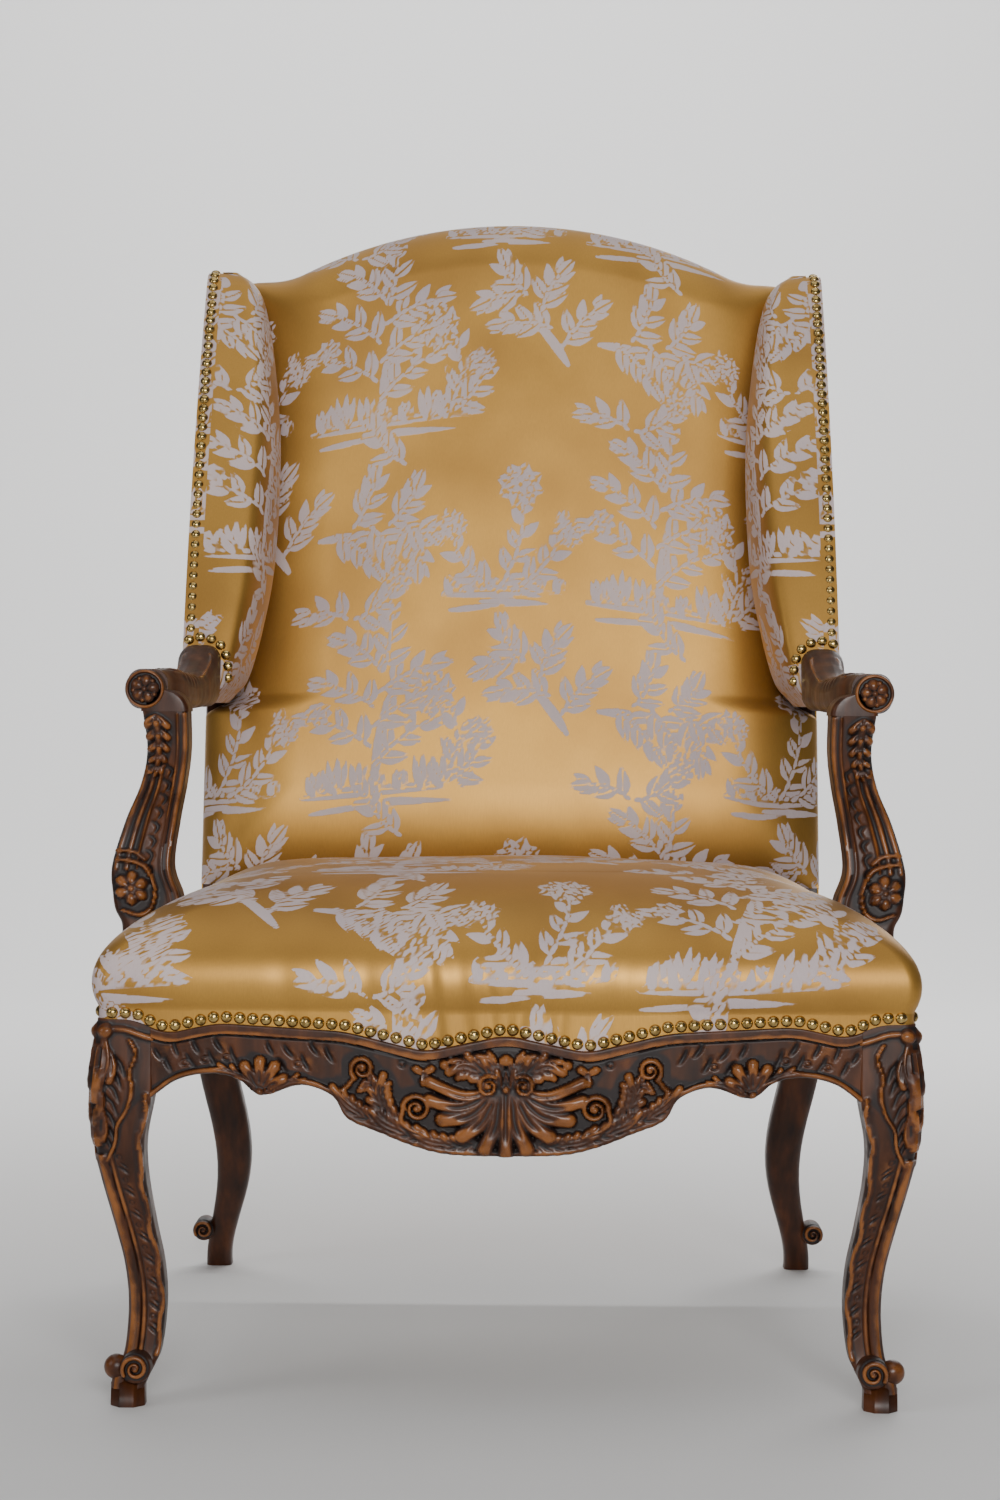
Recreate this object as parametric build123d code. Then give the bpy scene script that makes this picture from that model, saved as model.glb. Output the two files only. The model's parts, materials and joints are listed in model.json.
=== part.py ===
# Open-arm wing chair with a humped back: carved wooden frame, stuffed seat, back and wings.
# Millimetres, +Z up, the front faces -Y. Left is -X, as seen from the front.
from math import asin, cos, radians, sin, sqrt, tan
import os

from build123d import *

# Fits
WOOD_CLEARANCE = 0.2
SOFT_CLEARANCE = 0.3
COVER_THICKNESS = 2.5
SHEET_THICKNESS = 2.0

# Seat frame
FRONT_HALF_WIDTH = 356.0
REAR_HALF_WIDTH = 326.0
FRONT_Y = -350.0
REAR_LEG_Y = 200.0
FRAME_TOP = 346.0
FRONT_BOW = 12.0
SEAT_CORNER_RADIUS = 14.0
REBATE_DEPTH = 5.0

# Front legs
LEG_BLOCK = 48.0
LEG_BLOCK_RADIUS = 8.0
KNEE_HEIGHT = 270.0
# Height, width and how far the outer faces lie inside the knee's, from the knee down to the ankle
CABRIOLE_STATIONS = (
    (234.0, 39.0, 3.0),
    (200.0, 36.0, 7.0),
    (157.0, 32.0, 17.0),
    (121.0, 31.0, 25.0),
    (85.0, 30.0, 28.0),
    (46.0, 28.0, 27.0),
)
SECTION_ROUNDING = 0.28
FOOT_BLOCK_HEIGHT = 20.0
FOOT_BLOCK_WIDTH = 30.0
FOOT_BLOCK_INSET = 12.0
FOOT_SCROLL_RADIUS = 14.0
FOOT_BALL_RADIUS = 8.5

# Rear legs and back stiles
STILE_WIDTH = 40.0
STILE_DEPTH = 36.0
REAR_BLOCK_BOTTOM = 280.0
# Height, width, sideways shift towards the middle and setback from the block's front face
REAR_LEG_STATIONS = (
    (205.0, 40.0, -1.0, 17.0),
    (110.0, 35.0, 10.0, 48.0),
    (50.0, 28.0, -2.0, 72.0),
    (0.0, 27.0, -9.0, 92.0),
)
REAR_FOOT_DEPTH = 28.0
REAR_BALL_RADIUS = 10.0
REAR_BALL_HEIGHT = 42.0

# Seat rails
RAIL_THICKNESS = 30.0
FRONT_RAIL_THICKNESS = 36.0
SIDE_RAIL_BOTTOM = 284.0
SIDE_RAIL_ARCH = 14.0
REAR_RAIL_BOTTOM = 290.0
# Distance from the middle and height of the front rail's nailed top line. This line and the next
# are stretched to the distance between the legs.
RAIL_TOP_LINE = (
    (0.0, 330.0), (70.0, 315.0), (140.0, 332.0), (250.0, 338.0), (296.0, 328.0), (322.0, 340.0),
)
RAIL_TOP_ROUNDING = 24.0
# Distance from the middle and height of its scalloped lower edge, as far as the leg
RAIL_LOWER_LINE = (
    (0.0, 225.0), (60.0, 228.0), (112.0, 246.0), (137.0, 257.0), (150.0, 276.0),
    (178.0, 285.0), (211.0, 276.0), (232.0, 290.0), (257.0, 294.0), (285.0, 288.0),
    (308.0, 272.0),
)
CORNER_BLOCK_LEG = 60.0
CORNER_BLOCK_BOTTOM = 296.0

# Tenons of the rails
TENON_THICKNESS = 11.0
TENON_LENGTH = 15.0
TENON_BOTTOM = 300.0
TENON_TOP = 332.0

# Arms and their supports
ARM_ROUNDEL_RADIUS = 18.5
ARM_FRONT_Y = -203.0
ARM_ROUNDEL_LENGTH = 42.0
ARM_ROUNDEL_INSET = 13.3
ARM_HEIGHT = 627.0
ARM_MIDDLE_WIDTH = 36.0
ARM_MIDDLE_DEPTH = 30.0
ARM_MIDDLE_Y = -90.0
ARM_MIDDLE_DROP = 3.0
ARM_REAR_INSET = 16.0
ARM_REAR_WIDTH = 41.0
ARM_REAR_HEIGHT = 62.0
ARM_REAR_RISE = 13.0
ARM_TENON_RADIUS = 7.0
ARM_TENON_LENGTH = 18.0
SUPPORT_Y = -190.0
SUPPORT_BASE_INSET = 20.3
SUPPORT_BASE_WIDTH = 54.0
SUPPORT_DEPTH = 44.0
SUPPORT_BASE_TOP = 412.0
# Height above the base, inset of the centre from the seat's side, width, and setback of the
# S-shaped support, stretched up to the arm
SUPPORT_STATIONS = (
    (24.0, 15.3, 62.0, 6.0),
    (52.0, 8.8, 55.0, 14.0),
    (93.0, 16.8, 48.0, 20.0),
    (128.0, 27.8, 40.0, 14.0),
    (160.0, 33.3, 38.0, 6.0),
    (196.5, 31.3, 42.0, 0.0),
)
SUPPORT_TENON_LENGTH = 30.0
SUPPORT_TENON_WIDTH = 26.0
DOWEL_RADIUS = 5.0
DOWEL_LENGTH = 24.0

# Back, measured along its rake from the top of the seat frame
BACK_RAKE = 10.2
SHOULDER_HEIGHT = 740.0
HUMP_RISE = 66.0
HUMP_RADIUS = 495.0
COVE_RADIUS = 80.0
CREST_DEPTH = 78.0
LOWER_RAIL_BOTTOM = 70.0
LOWER_RAIL_DEPTH = 44.0
BACK_PAD_BOTTOM = 76.0
BACK_TENON_LENGTH = 20.0
BACK_TENON_HEIGHT = 26.0
BACK_PAD_DEPTH = 46.0
BACK_PAD_SHOULDER = 110.0

# Wings
WING_FRAME_THICKNESS = 24.0
WING_BAND = 30.0
WING_DROP = 13.0
# How far the front edge lies before the back stile at its foot, middle and top
WING_FOOT_DEPTH = 232.2
WING_MIDDLE_DEPTH = 186.7
WING_TOP_DEPTH = 95.0
WING_TOP_RADIUS = 34.0
WING_BACK_GAP = 50.0
WING_PAD_DEPTH = 52.0
WING_PAD_SHOULDER = 24.0

# Seat pad, whose sides swell before they are drawn in
SEAT_PAD_DEPTH = 112.0
SEAT_PAD_SHOULDER = 178.0
SEAT_PAD_SWELL = 14.0

# Crowned pads follow a part of an ellipse up to this angle, in so many steps
CROWN_END = 84.0
CROWN_STEPS = 8

# Webbing and hessian
WEBBING_WIDTH = 55.0
WEBBING_THICKNESS = 1.5
HESSIAN_THICKNESS = 1.0
SEAT_BANDS = 5
BACK_UPRIGHT_BANDS = 4
BACK_CROSS_BANDS = 5

# Dome nails
NAIL_RADIUS = 5.2
NAIL_HEIGHT = 3.4
NAIL_PITCH = 11.4
NAIL_RISE = 5.6
WING_NAIL_EDGE = 7.0

# Levels and places that follow from the sizes above
WEBBING_TOP = FRAME_TOP + 2 * WEBBING_THICKNESS
PAD_BASE = WEBBING_TOP + HESSIAN_THICKNESS
LEG_INNER_X = FRONT_HALF_WIDTH - LEG_BLOCK
LEG_REAR_Y = FRONT_Y + LEG_BLOCK
STILE_INNER_X = REAR_HALF_WIDTH - STILE_WIDTH
WING_INNER_X = REAR_HALF_WIDTH - WING_FRAME_THICKNESS
ARM_REAR_X = REAR_HALF_WIDTH - ARM_REAR_INSET
BACK_PLACE = Pos(0, REAR_LEG_Y, FRAME_TOP) * Rot(-BACK_RAKE, 0, 0)
REAR_LEAN = tan(radians(BACK_RAKE))
HUMP_HEIGHT = SHOULDER_HEIGHT + HUMP_RISE
WING_BOTTOM = ARM_HEIGHT - WING_DROP
WING_TOP = FRAME_TOP + SHOULDER_HEIGHT * cos(radians(BACK_RAKE))
BIG = 4 * FRONT_HALF_WIDTH


# Shared helpers

def box_between(low, high):
    """A box from its lowest corner to its highest corner."""
    size = [top - bottom for bottom, top in zip(low, high)]
    middle = [(top + bottom) / 2 for bottom, top in zip(low, high)]
    return Pos(*middle) * Box(*size)


def grown(low, high, by):
    """The corners of a box that is larger all round."""
    return [value - by for value in low], [value + by for value in high]


def other_side(piece):
    """The same piece on the other side of the chair."""
    return mirror(piece, about=Plane.YZ)


def back_front_y(height):
    """Where the front faces of the raked back stiles lie at a height above the floor."""
    return REAR_LEG_Y + (height - FRAME_TOP) * REAR_LEAN


def side_x(y):
    """The outer face of the seat frame's right side at a depth."""
    share = (y - FRONT_Y) / (REAR_LEG_Y - FRONT_Y)
    return FRONT_HALF_WIDTH + share * (REAR_HALF_WIDTH - FRONT_HALF_WIDTH)


def support_x(inset):
    """A place on the right arm support, measured in from the seat's side beside it."""
    return side_x(SUPPORT_Y) - inset


def between_legs(line):
    """Points of one of the front rail's lines, stretched to the distance between the legs."""
    stretch = LEG_INNER_X / RAIL_LOWER_LINE[-1][0]
    return [(x * stretch, z) for x, z in line]


def both_sides(points):
    """Points right of the middle line and their mirror images, from left to right."""
    left = [(-x, z) for x, z in reversed(points) if x > 0]
    return left + list(points)


def crown_profile(depth, shoulder, swell, shrink):
    """Rise above a pad's base and draw-in of its edge, smaller all round by a thickness."""
    start = radians(-swell)
    profile = []
    for step in range(CROWN_STEPS + 1):
        angle = start + (radians(CROWN_END) - start) * step / CROWN_STEPS
        rise = (depth - shrink) * (sin(angle) - sin(start)) / (1 - sin(start))
        inset = shoulder * (cos(start) - cos(angle))
        profile.append((rise, inset + shrink))
    return profile


def rounded_section(width, depth, x, y, z):
    """A level leg section with rounded corners."""
    return Pos(x, y, z) * RectangleRounded(width, depth, SECTION_ROUNDING * min(width, depth))


# Seat outline and the rebate that the cover is nailed into

def seat_plan(inset):
    """The seat seen from above, drawn in by an inset, with a bowed front."""
    front = FRONT_Y + inset
    rear = REAR_LEG_Y - max(inset, 0.0)
    half_front = FRONT_HALF_WIDTH - inset
    half_rear = side_x(REAR_LEG_Y) - inset
    corners = [(-half_front, front), (half_front, front), (half_rear, rear), (-half_rear, rear)]
    bow = ThreePointArc(corners[0], (0, front - FRONT_BOW), corners[1])
    sides = Polyline(corners[1], corners[2], corners[3], corners[0])
    plan = make_face([bow, sides])
    return fillet(plan.vertices(), SEAT_CORNER_RADIUS)


def rail_top_wave(rise, reach):
    """The wavy line that the cover is nailed along, with level ends, raised by a distance."""
    level = RAIL_TOP_LINE[-1][1] + rise
    points = [(x, z + rise) for x, z in both_sides(between_legs(RAIL_TOP_LINE))]
    return FilletPolyline((-reach, level), *points, (reach, level), radius=RAIL_TOP_ROUNDING)


def above_rail_line(rise):
    """Everything above the nailed line, which runs level along the sides, up to the pad's base."""
    wave = rail_top_wave(rise, BIG)
    level = RAIL_TOP_LINE[-1][1] + rise
    frame = Polyline((BIG, level), (BIG, PAD_BASE), (-BIG, PAD_BASE), (-BIG, level))
    face = Plane.XZ * make_face(wave.edges() + frame.edges())
    return extrude(face, BIG, both=True)


def cover_band(rise):
    """The band round the front and sides of the seat frame, which holds the cover's nailed edge."""
    ring = Pos(0, 0, KNEE_HEIGHT) * (seat_plan(0) - seat_plan(REBATE_DEPTH))
    rear = box_between((-BIG, REAR_LEG_Y - SEAT_CORNER_RADIUS, 0), (BIG, BIG, BIG))
    return (extrude(ring, SEAT_PAD_DEPTH) & above_rail_line(rise)) - rear


def rebate(piece):
    """A piece of the seat frame with the cover's rebate cut into its outer face."""
    corner = box_between((-BIG, FRONT_Y - BIG, KNEE_HEIGHT), (BIG, REAR_LEG_Y, PAD_BASE))
    inside = extrude(Pos(0, 0, KNEE_HEIGHT) * seat_plan(REBATE_DEPTH), PAD_BASE - KNEE_HEIGHT)
    return piece - ((corner - inside) & above_rail_line(0))


# Tenons

def front_tenon(grow=0.0):
    """The front rail's tenon in the right leg."""
    middle = FRONT_Y + LEG_BLOCK / 2
    low = (LEG_INNER_X, middle - TENON_THICKNESS / 2, TENON_BOTTOM)
    high = (LEG_INNER_X + TENON_LENGTH, middle + TENON_THICKNESS / 2, TENON_TOP)
    return box_between(*grown(low, high, grow))


def side_front_tenon(grow=0.0):
    """The side rail's tenon in the right front leg."""
    outer = side_x(LEG_REAR_Y) - REBATE_DEPTH - TENON_THICKNESS
    low = (outer - TENON_THICKNESS, LEG_REAR_Y - TENON_LENGTH, TENON_BOTTOM)
    high = (outer, LEG_REAR_Y, TENON_TOP)
    return box_between(*grown(low, high, grow))


def side_rear_tenon(grow=0.0):
    """The side rail's tenon in the right rear leg."""
    outer = REAR_HALF_WIDTH - REBATE_DEPTH - TENON_THICKNESS / 2
    low = (outer - TENON_THICKNESS, REAR_LEG_Y, TENON_BOTTOM)
    high = (outer, REAR_LEG_Y + TENON_LENGTH, TENON_TOP)
    return box_between(*grown(low, high, grow))


def rear_tenon(grow=0.0):
    """The rear rail's tenon in the right rear leg, behind the side rail's."""
    front = REAR_LEG_Y + TENON_LENGTH + 2 * WOOD_CLEARANCE + SOFT_CLEARANCE
    low = (STILE_INNER_X, front, TENON_BOTTOM)
    high = (STILE_INNER_X + TENON_LENGTH, front + TENON_THICKNESS, TENON_TOP)
    return box_between(*grown(low, high, grow))


def back_tenon(bottom, grow=0.0):
    """A back rail's tenon in the right stile, in the back's own upright frame."""
    low = (STILE_INNER_X, STILE_DEPTH / 2 - TENON_THICKNESS / 2, bottom)
    high = (STILE_INNER_X + BACK_TENON_LENGTH, STILE_DEPTH / 2 + TENON_THICKNESS / 2,
            bottom + BACK_TENON_HEIGHT)
    return box_between(*grown(low, high, grow))


def crest_tenon_bottom():
    """The crest rail's tenon, in the middle of the part that meets the stile."""
    return SHOULDER_HEIGHT - CREST_DEPTH / 2 - BACK_TENON_HEIGHT / 2


def lower_tenon_bottom():
    """The lower back rail's tenon, in the middle of its height."""
    return LOWER_RAIL_BOTTOM + LOWER_RAIL_DEPTH / 2 - BACK_TENON_HEIGHT / 2


def support_tenon(grow=0.0):
    """The right arm support's tenon in the side rail."""
    middle = side_x(SUPPORT_Y) - RAIL_THICKNESS / 2
    low = (middle - TENON_THICKNESS / 2, SUPPORT_Y - SUPPORT_TENON_WIDTH / 2,
           FRAME_TOP - SUPPORT_TENON_LENGTH)
    high = (middle + TENON_THICKNESS / 2, SUPPORT_Y + SUPPORT_TENON_WIDTH / 2, FRAME_TOP)
    return box_between(*grown(low, high, grow))


# Legs

def leg_section(height, width, inset):
    """A section of the right front leg, set in by the same amount on both outer faces."""
    x = FRONT_HALF_WIDTH - inset - width / 2
    y = FRONT_Y + inset + width / 2
    return rounded_section(width, width, x, y, height)


def front_leg():
    """The right front leg: square block, cabriole curve, scroll and block foot."""
    block_middle = Pos(FRONT_HALF_WIDTH - LEG_BLOCK / 2, FRONT_Y + LEG_BLOCK / 2, KNEE_HEIGHT)
    block_face = block_middle * RectangleRounded(LEG_BLOCK, LEG_BLOCK, LEG_BLOCK_RADIUS)
    block = extrude(block_face, FRAME_TOP - KNEE_HEIGHT)
    sections = [leg_section(KNEE_HEIGHT, LEG_BLOCK, 0.0)]
    sections += [leg_section(*station) for station in CABRIOLE_STATIONS]
    shaft = loft(sections)
    ankle_height, ankle_width, ankle_inset = CABRIOLE_STATIONS[-1]
    foot_x = FRONT_HALF_WIDTH - FOOT_BLOCK_INSET - FOOT_BLOCK_WIDTH / 2
    foot_y = FRONT_Y + FOOT_BLOCK_INSET + FOOT_BLOCK_WIDTH / 2
    foot = Pos(foot_x, foot_y, 0) * extrude(
        Rot(0, 0, 22.5) * RegularPolygon(FOOT_BLOCK_WIDTH / 2, 8, major_radius=False), FOOT_BLOCK_HEIGHT)
    scroll_height = FOOT_BLOCK_HEIGHT + FOOT_SCROLL_RADIUS
    neck = extrude(leg_section(FOOT_BLOCK_HEIGHT, ankle_width, ankle_inset - FOOT_BALL_RADIUS),
                   ankle_height - FOOT_BLOCK_HEIGHT)
    scroll = Pos(foot_x, foot_y, scroll_height) * Sphere(FOOT_SCROLL_RADIUS)
    side_ball = Pos(foot_x + FOOT_SCROLL_RADIUS, foot_y, scroll_height) * Sphere(FOOT_BALL_RADIUS)
    front_ball = Pos(foot_x, foot_y - FOOT_SCROLL_RADIUS, scroll_height) * Sphere(FOOT_BALL_RADIUS)
    leg = block + shaft + neck + foot + scroll + side_ball + front_ball
    leg = rebate(leg) - front_tenon(WOOD_CLEARANCE) - side_front_tenon(WOOD_CLEARANCE)
    return leg


def rear_section(height, width, shift, setback):
    """A section of the right rear leg below its block."""
    depth = REAR_FOOT_DEPTH + (STILE_DEPTH - REAR_FOOT_DEPTH) * height / REAR_BLOCK_BOTTOM
    x = REAR_HALF_WIDTH - STILE_WIDTH / 2 - shift
    y = REAR_LEG_Y + setback + depth / 2
    return rounded_section(width, depth, x, y, height)


def rear_leg():
    """The right rear leg, going on upwards as the raked stile of the back."""
    block = box_between((STILE_INNER_X, REAR_LEG_Y, REAR_BLOCK_BOTTOM),
                        (REAR_HALF_WIDTH, REAR_LEG_Y + STILE_DEPTH, FRAME_TOP))
    sections = [rear_section(REAR_BLOCK_BOTTOM, STILE_WIDTH, 0.0, 0.0)]
    sections += [rear_section(*station) for station in REAR_LEG_STATIONS]
    shaft = loft(sections)
    stile = BACK_PLACE * box_between((STILE_INNER_X, 0, 0), (REAR_HALF_WIDTH, STILE_DEPTH, SHOULDER_HEIGHT))
    heel = box_between((STILE_INNER_X, REAR_LEG_Y, FRAME_TOP - STILE_DEPTH * REAR_LEAN),
                       (REAR_HALF_WIDTH, REAR_LEG_Y + STILE_DEPTH * cos(radians(BACK_RAKE)), FRAME_TOP))
    ball_setback = REAR_LEG_STATIONS[-2][3] + REAR_FOOT_DEPTH / 2
    ball = Pos(REAR_HALF_WIDTH + REAR_BALL_RADIUS / 2, REAR_LEG_Y + ball_setback, REAR_BALL_HEIGHT)
    leg = block + shaft + heel + stile + ball * Sphere(REAR_BALL_RADIUS)
    leg = leg - side_rear_tenon(WOOD_CLEARANCE) - rear_tenon(WOOD_CLEARANCE)
    for bottom in (crest_tenon_bottom(), lower_tenon_bottom()):
        leg = leg - BACK_PLACE * back_tenon(bottom, WOOD_CLEARANCE)
    return leg


# Seat rails

def front_rail():
    """The bowed front rail with its scalloped lower edge and a tenon at each end."""
    half, end_height = between_legs(RAIL_LOWER_LINE)[-1]
    lower = Spline(*both_sides(between_legs(RAIL_LOWER_LINE)))
    frame = Polyline((half, end_height), (half, FRAME_TOP), (-half, FRAME_TOP), (-half, end_height))
    outline = Plane.XZ * make_face([lower, frame])
    board = extrude(outline, BIG, both=True)
    rear = FRONT_Y + FRONT_RAIL_THICKNESS
    lowest = min(z for _, z in RAIL_LOWER_LINE)
    band = extrude(Pos(0, 0, lowest - REBATE_DEPTH) * seat_plan(0), FRAME_TOP - lowest + REBATE_DEPTH)
    band = band & box_between((-BIG, FRONT_Y - BIG, 0), (BIG, rear, FRAME_TOP))
    rail = rebate(board & band)
    return rail + front_tenon() + other_side(front_tenon())


def side_rail():
    """The right side rail with an arched lower edge, tenons and the support's mortise."""
    inner = RAIL_THICKNESS
    plan = Polyline((side_x(LEG_REAR_Y), LEG_REAR_Y), (side_x(REAR_LEG_Y), REAR_LEG_Y),
                    (side_x(REAR_LEG_Y) - inner, REAR_LEG_Y), (side_x(LEG_REAR_Y) - inner, LEG_REAR_Y),
                    close=True)
    board = extrude(Pos(0, 0, SIDE_RAIL_BOTTOM) * make_face(plan), FRAME_TOP - SIDE_RAIL_BOTTOM)
    middle = (LEG_REAR_Y + REAR_LEG_Y) / 2
    arch = ThreePointArc((LEG_REAR_Y, SIDE_RAIL_BOTTOM), (middle, SIDE_RAIL_BOTTOM + SIDE_RAIL_ARCH),
                         (REAR_LEG_Y, SIDE_RAIL_BOTTOM))
    chord = Line((REAR_LEG_Y, SIDE_RAIL_BOTTOM), (LEG_REAR_Y, SIDE_RAIL_BOTTOM))
    hollow = extrude(Plane.YZ * make_face([arch, chord]), BIG, both=True)
    rail = rebate(board - hollow) + side_front_tenon() + side_rear_tenon()
    return rail - support_tenon(WOOD_CLEARANCE)


def rear_rail():
    """The rear seat rail between the rear legs."""
    tenon = rear_tenon()
    board = box_between((-STILE_INNER_X, REAR_LEG_Y, REAR_RAIL_BOTTOM),
                        (STILE_INNER_X, REAR_LEG_Y + STILE_DEPTH, FRAME_TOP))
    return board + tenon + other_side(tenon)


def corner_blocks():
    """Four glued blocks that brace the corners of the seat frame."""
    front = FRONT_Y + FRONT_RAIL_THICKNESS
    height = FRAME_TOP - CORNER_BLOCK_BOTTOM
    blocks = []
    for y, step in ((front, CORNER_BLOCK_LEG), (REAR_LEG_Y, -CORNER_BLOCK_LEG)):
        outer = side_x(y) - RAIL_THICKNESS - WOOD_CLEARANCE
        outer = min(outer, LEG_INNER_X - WOOD_CLEARANCE) if step > 0 else outer
        far = min(side_x(y + step) - RAIL_THICKNESS - WOOD_CLEARANCE, outer)
        plan = Polyline((outer, y), (far, y + step), (outer - CORNER_BLOCK_LEG, y), close=True)
        block = extrude(Pos(0, 0, CORNER_BLOCK_BOTTOM) * make_face(plan), height)
        blocks += [block, other_side(block)]
    return blocks


# Arms

def support_top():
    """Height where the arm rests on its support."""
    return ARM_HEIGHT - ARM_ROUNDEL_RADIUS


def arm_dowel(grow=0.0):
    """The dowel that pins the right arm to its support."""
    place = Pos(support_x(SUPPORT_STATIONS[-1][1]), SUPPORT_Y, support_top())
    return place * Cylinder(DOWEL_RADIUS + grow, DOWEL_LENGTH + 2 * grow)


def arm_support():
    """The right arm support: base block, S curve and a tenon into the side rail."""
    base_x = support_x(SUPPORT_BASE_INSET)
    base = box_between((base_x - SUPPORT_BASE_WIDTH / 2, SUPPORT_Y - SUPPORT_DEPTH / 2, FRAME_TOP),
                       (base_x + SUPPORT_BASE_WIDTH / 2, SUPPORT_Y + SUPPORT_DEPTH / 2, SUPPORT_BASE_TOP))
    inside = seat_plan(REBATE_DEPTH + SOFT_CLEARANCE)
    base = base & extrude(Pos(0, 0, FRAME_TOP) * inside, SUPPORT_BASE_TOP - FRAME_TOP)
    sections = [rounded_section(SUPPORT_BASE_WIDTH, SUPPORT_DEPTH, base_x, SUPPORT_Y, SUPPORT_BASE_TOP)]
    stretch = (support_top() - SUPPORT_BASE_TOP) / SUPPORT_STATIONS[-1][0]
    for rise, inset, width, setback in SUPPORT_STATIONS:
        height = SUPPORT_BASE_TOP + rise * stretch
        sections.append(rounded_section(width, SUPPORT_DEPTH, support_x(inset), SUPPORT_Y + setback, height))
    return base + loft(sections) + support_tenon() - arm_dowel(WOOD_CLEARANCE)


def arm_section(x, y, z, width, height):
    """An upright section of the right arm, square to its length."""
    plane = Plane(origin=(x, y, z), x_dir=(1, 0, 0), z_dir=(0, -1, 0))
    return plane * RectangleRounded(width, height, SECTION_ROUNDING * min(width, height))


def arm():
    """The right arm: roundel in front, slim middle, tall rear end tenoned into the wing."""
    flat = 2 * ARM_ROUNDEL_RADIUS
    neck_y = ARM_FRONT_Y + ARM_ROUNDEL_LENGTH
    rear_height = ARM_HEIGHT + ARM_REAR_RISE
    end_y = wing_front_y(rear_height + ARM_REAR_HEIGHT / 2)
    middle_z = ARM_HEIGHT - ARM_MIDDLE_DROP
    roundel_x = support_x(ARM_ROUNDEL_INSET)
    _, top_inset, top_width, _ = SUPPORT_STATIONS[-1]
    top_x = support_x(top_inset)
    body = loft([
        arm_section(roundel_x, ARM_FRONT_Y + ARM_ROUNDEL_LENGTH / 2, ARM_HEIGHT, flat, flat),
        arm_section((roundel_x + top_x) / 2, neck_y, ARM_HEIGHT, flat, flat),
        arm_section(top_x, ARM_MIDDLE_Y, middle_z, ARM_MIDDLE_WIDTH, ARM_MIDDLE_DEPTH),
        arm_section(ARM_REAR_X, end_y, rear_height, ARM_REAR_WIDTH, ARM_REAR_HEIGHT),
    ])
    roundel = Pos(roundel_x, ARM_FRONT_Y + ARM_ROUNDEL_LENGTH / 2, ARM_HEIGHT)
    roundel = roundel * Rot(90, 0, 0) * Cylinder(ARM_ROUNDEL_RADIUS, ARM_ROUNDEL_LENGTH)
    seat = box_between((top_x - top_width / 2, SUPPORT_Y - SUPPORT_DEPTH / 2, support_top()),
                       (roundel_x, SUPPORT_Y + SUPPORT_DEPTH / 2, ARM_HEIGHT))
    below = box_between((0, -BIG, 0), (BIG, neck_y + SUPPORT_DEPTH / 2, support_top()))
    whole = body + roundel + seat - below - arm_dowel(WOOD_CLEARANCE)
    wing = extrude(Plane.YZ * wing_outline(-SHEET_THICKNESS - SOFT_CLEARANCE), BIG)
    return whole - wing + arm_tenon()


def arm_tenon(grow=0.0):
    """The round tenon of the right arm in the wing's front stile."""
    height = ARM_HEIGHT + ARM_REAR_RISE
    start = wing_front_y(height + ARM_REAR_HEIGHT / 2) - WING_BAND - grow
    end = wing_front_y(height) + ARM_TENON_LENGTH + grow
    place = Pos(WING_INNER_X + WING_FRAME_THICKNESS / 2, (start + end) / 2, height) * Rot(90, 0, 0)
    return place * Cylinder(ARM_TENON_RADIUS + grow, end - start)


# Back, built upright with the stiles' front faces in the plane y = 0

def back_top(inset, half_width):
    """The humped top line from left to right: flat shoulders, coves and one long arc."""
    hump = HUMP_RADIUS - inset
    cove = COVE_RADIUS + inset
    shoulder = SHOULDER_HEIGHT - inset
    span = HUMP_RADIUS + COVE_RADIUS
    cove_x = sqrt(span ** 2 - (span - HUMP_RISE) ** 2)
    turn = asin(cove_x / span)
    join = (hump * sin(turn), HUMP_HEIGHT - HUMP_RADIUS + hump * cos(turn))
    half_turn = (cove_x - cove * sin(turn / 2), SHOULDER_HEIGHT + COVE_RADIUS - cove * cos(turn / 2))
    foot = (cove_x, shoulder)
    left = ThreePointArc((-foot[0], foot[1]), (-half_turn[0], half_turn[1]), (-join[0], join[1]))
    crown = ThreePointArc((-join[0], join[1]), (0, HUMP_HEIGHT - inset), join)
    right = ThreePointArc(join, half_turn, foot)
    return [Line((-half_width, shoulder), (-foot[0], foot[1])), left, crown, right,
            Line(foot, (half_width, shoulder))]


def back_outline(inset, bottom):
    """The whole back as its frame and outside cover have it, seen from the front."""
    half = REAR_HALF_WIDTH - inset
    top = back_top(inset, half)
    sides = Polyline((half, SHOULDER_HEIGHT - inset), (half, bottom), (-half, bottom),
                     (-half, SHOULDER_HEIGHT - inset))
    return Plane.XZ * make_face(top + [sides])


def back_pad_outline(inset):
    """The stuffed front of the back: full width below the wings, narrower between them."""
    wide = REAR_HALF_WIDTH
    narrow = WING_INNER_X - 2 * SOFT_CLEARANCE
    step = (WING_BOTTOM - FRAME_TOP) / cos(radians(BACK_RAKE)) - COVER_THICKNESS - WING_BAND / 2
    top = back_top(0.0, narrow)
    sides = Polyline((narrow, SHOULDER_HEIGHT), (narrow, step), (wide, step), (wide, BACK_PAD_BOTTOM),
                     (-wide, BACK_PAD_BOTTOM), (-wide, step), (-narrow, step), (-narrow, SHOULDER_HEIGHT))
    centre = (BACK_PAD_BOTTOM + HUMP_HEIGHT) / 2
    size = 1 - inset / wide
    return Plane.XZ * Pos(0, centre * (1 - size)) * scale(make_face(top + [sides]), size)


def back_crest():
    """The humped crest rail between the stiles, with a tenon at each end."""
    outline = back_outline(SOFT_CLEARANCE, SHOULDER_HEIGHT - CREST_DEPTH)
    board = extrude(outline, -STILE_DEPTH)
    board = board & box_between((-STILE_INNER_X, -BIG, 0), (STILE_INNER_X, BIG, BIG))
    tenon = back_tenon(crest_tenon_bottom())
    return BACK_PLACE * (board + tenon + other_side(tenon))


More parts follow.
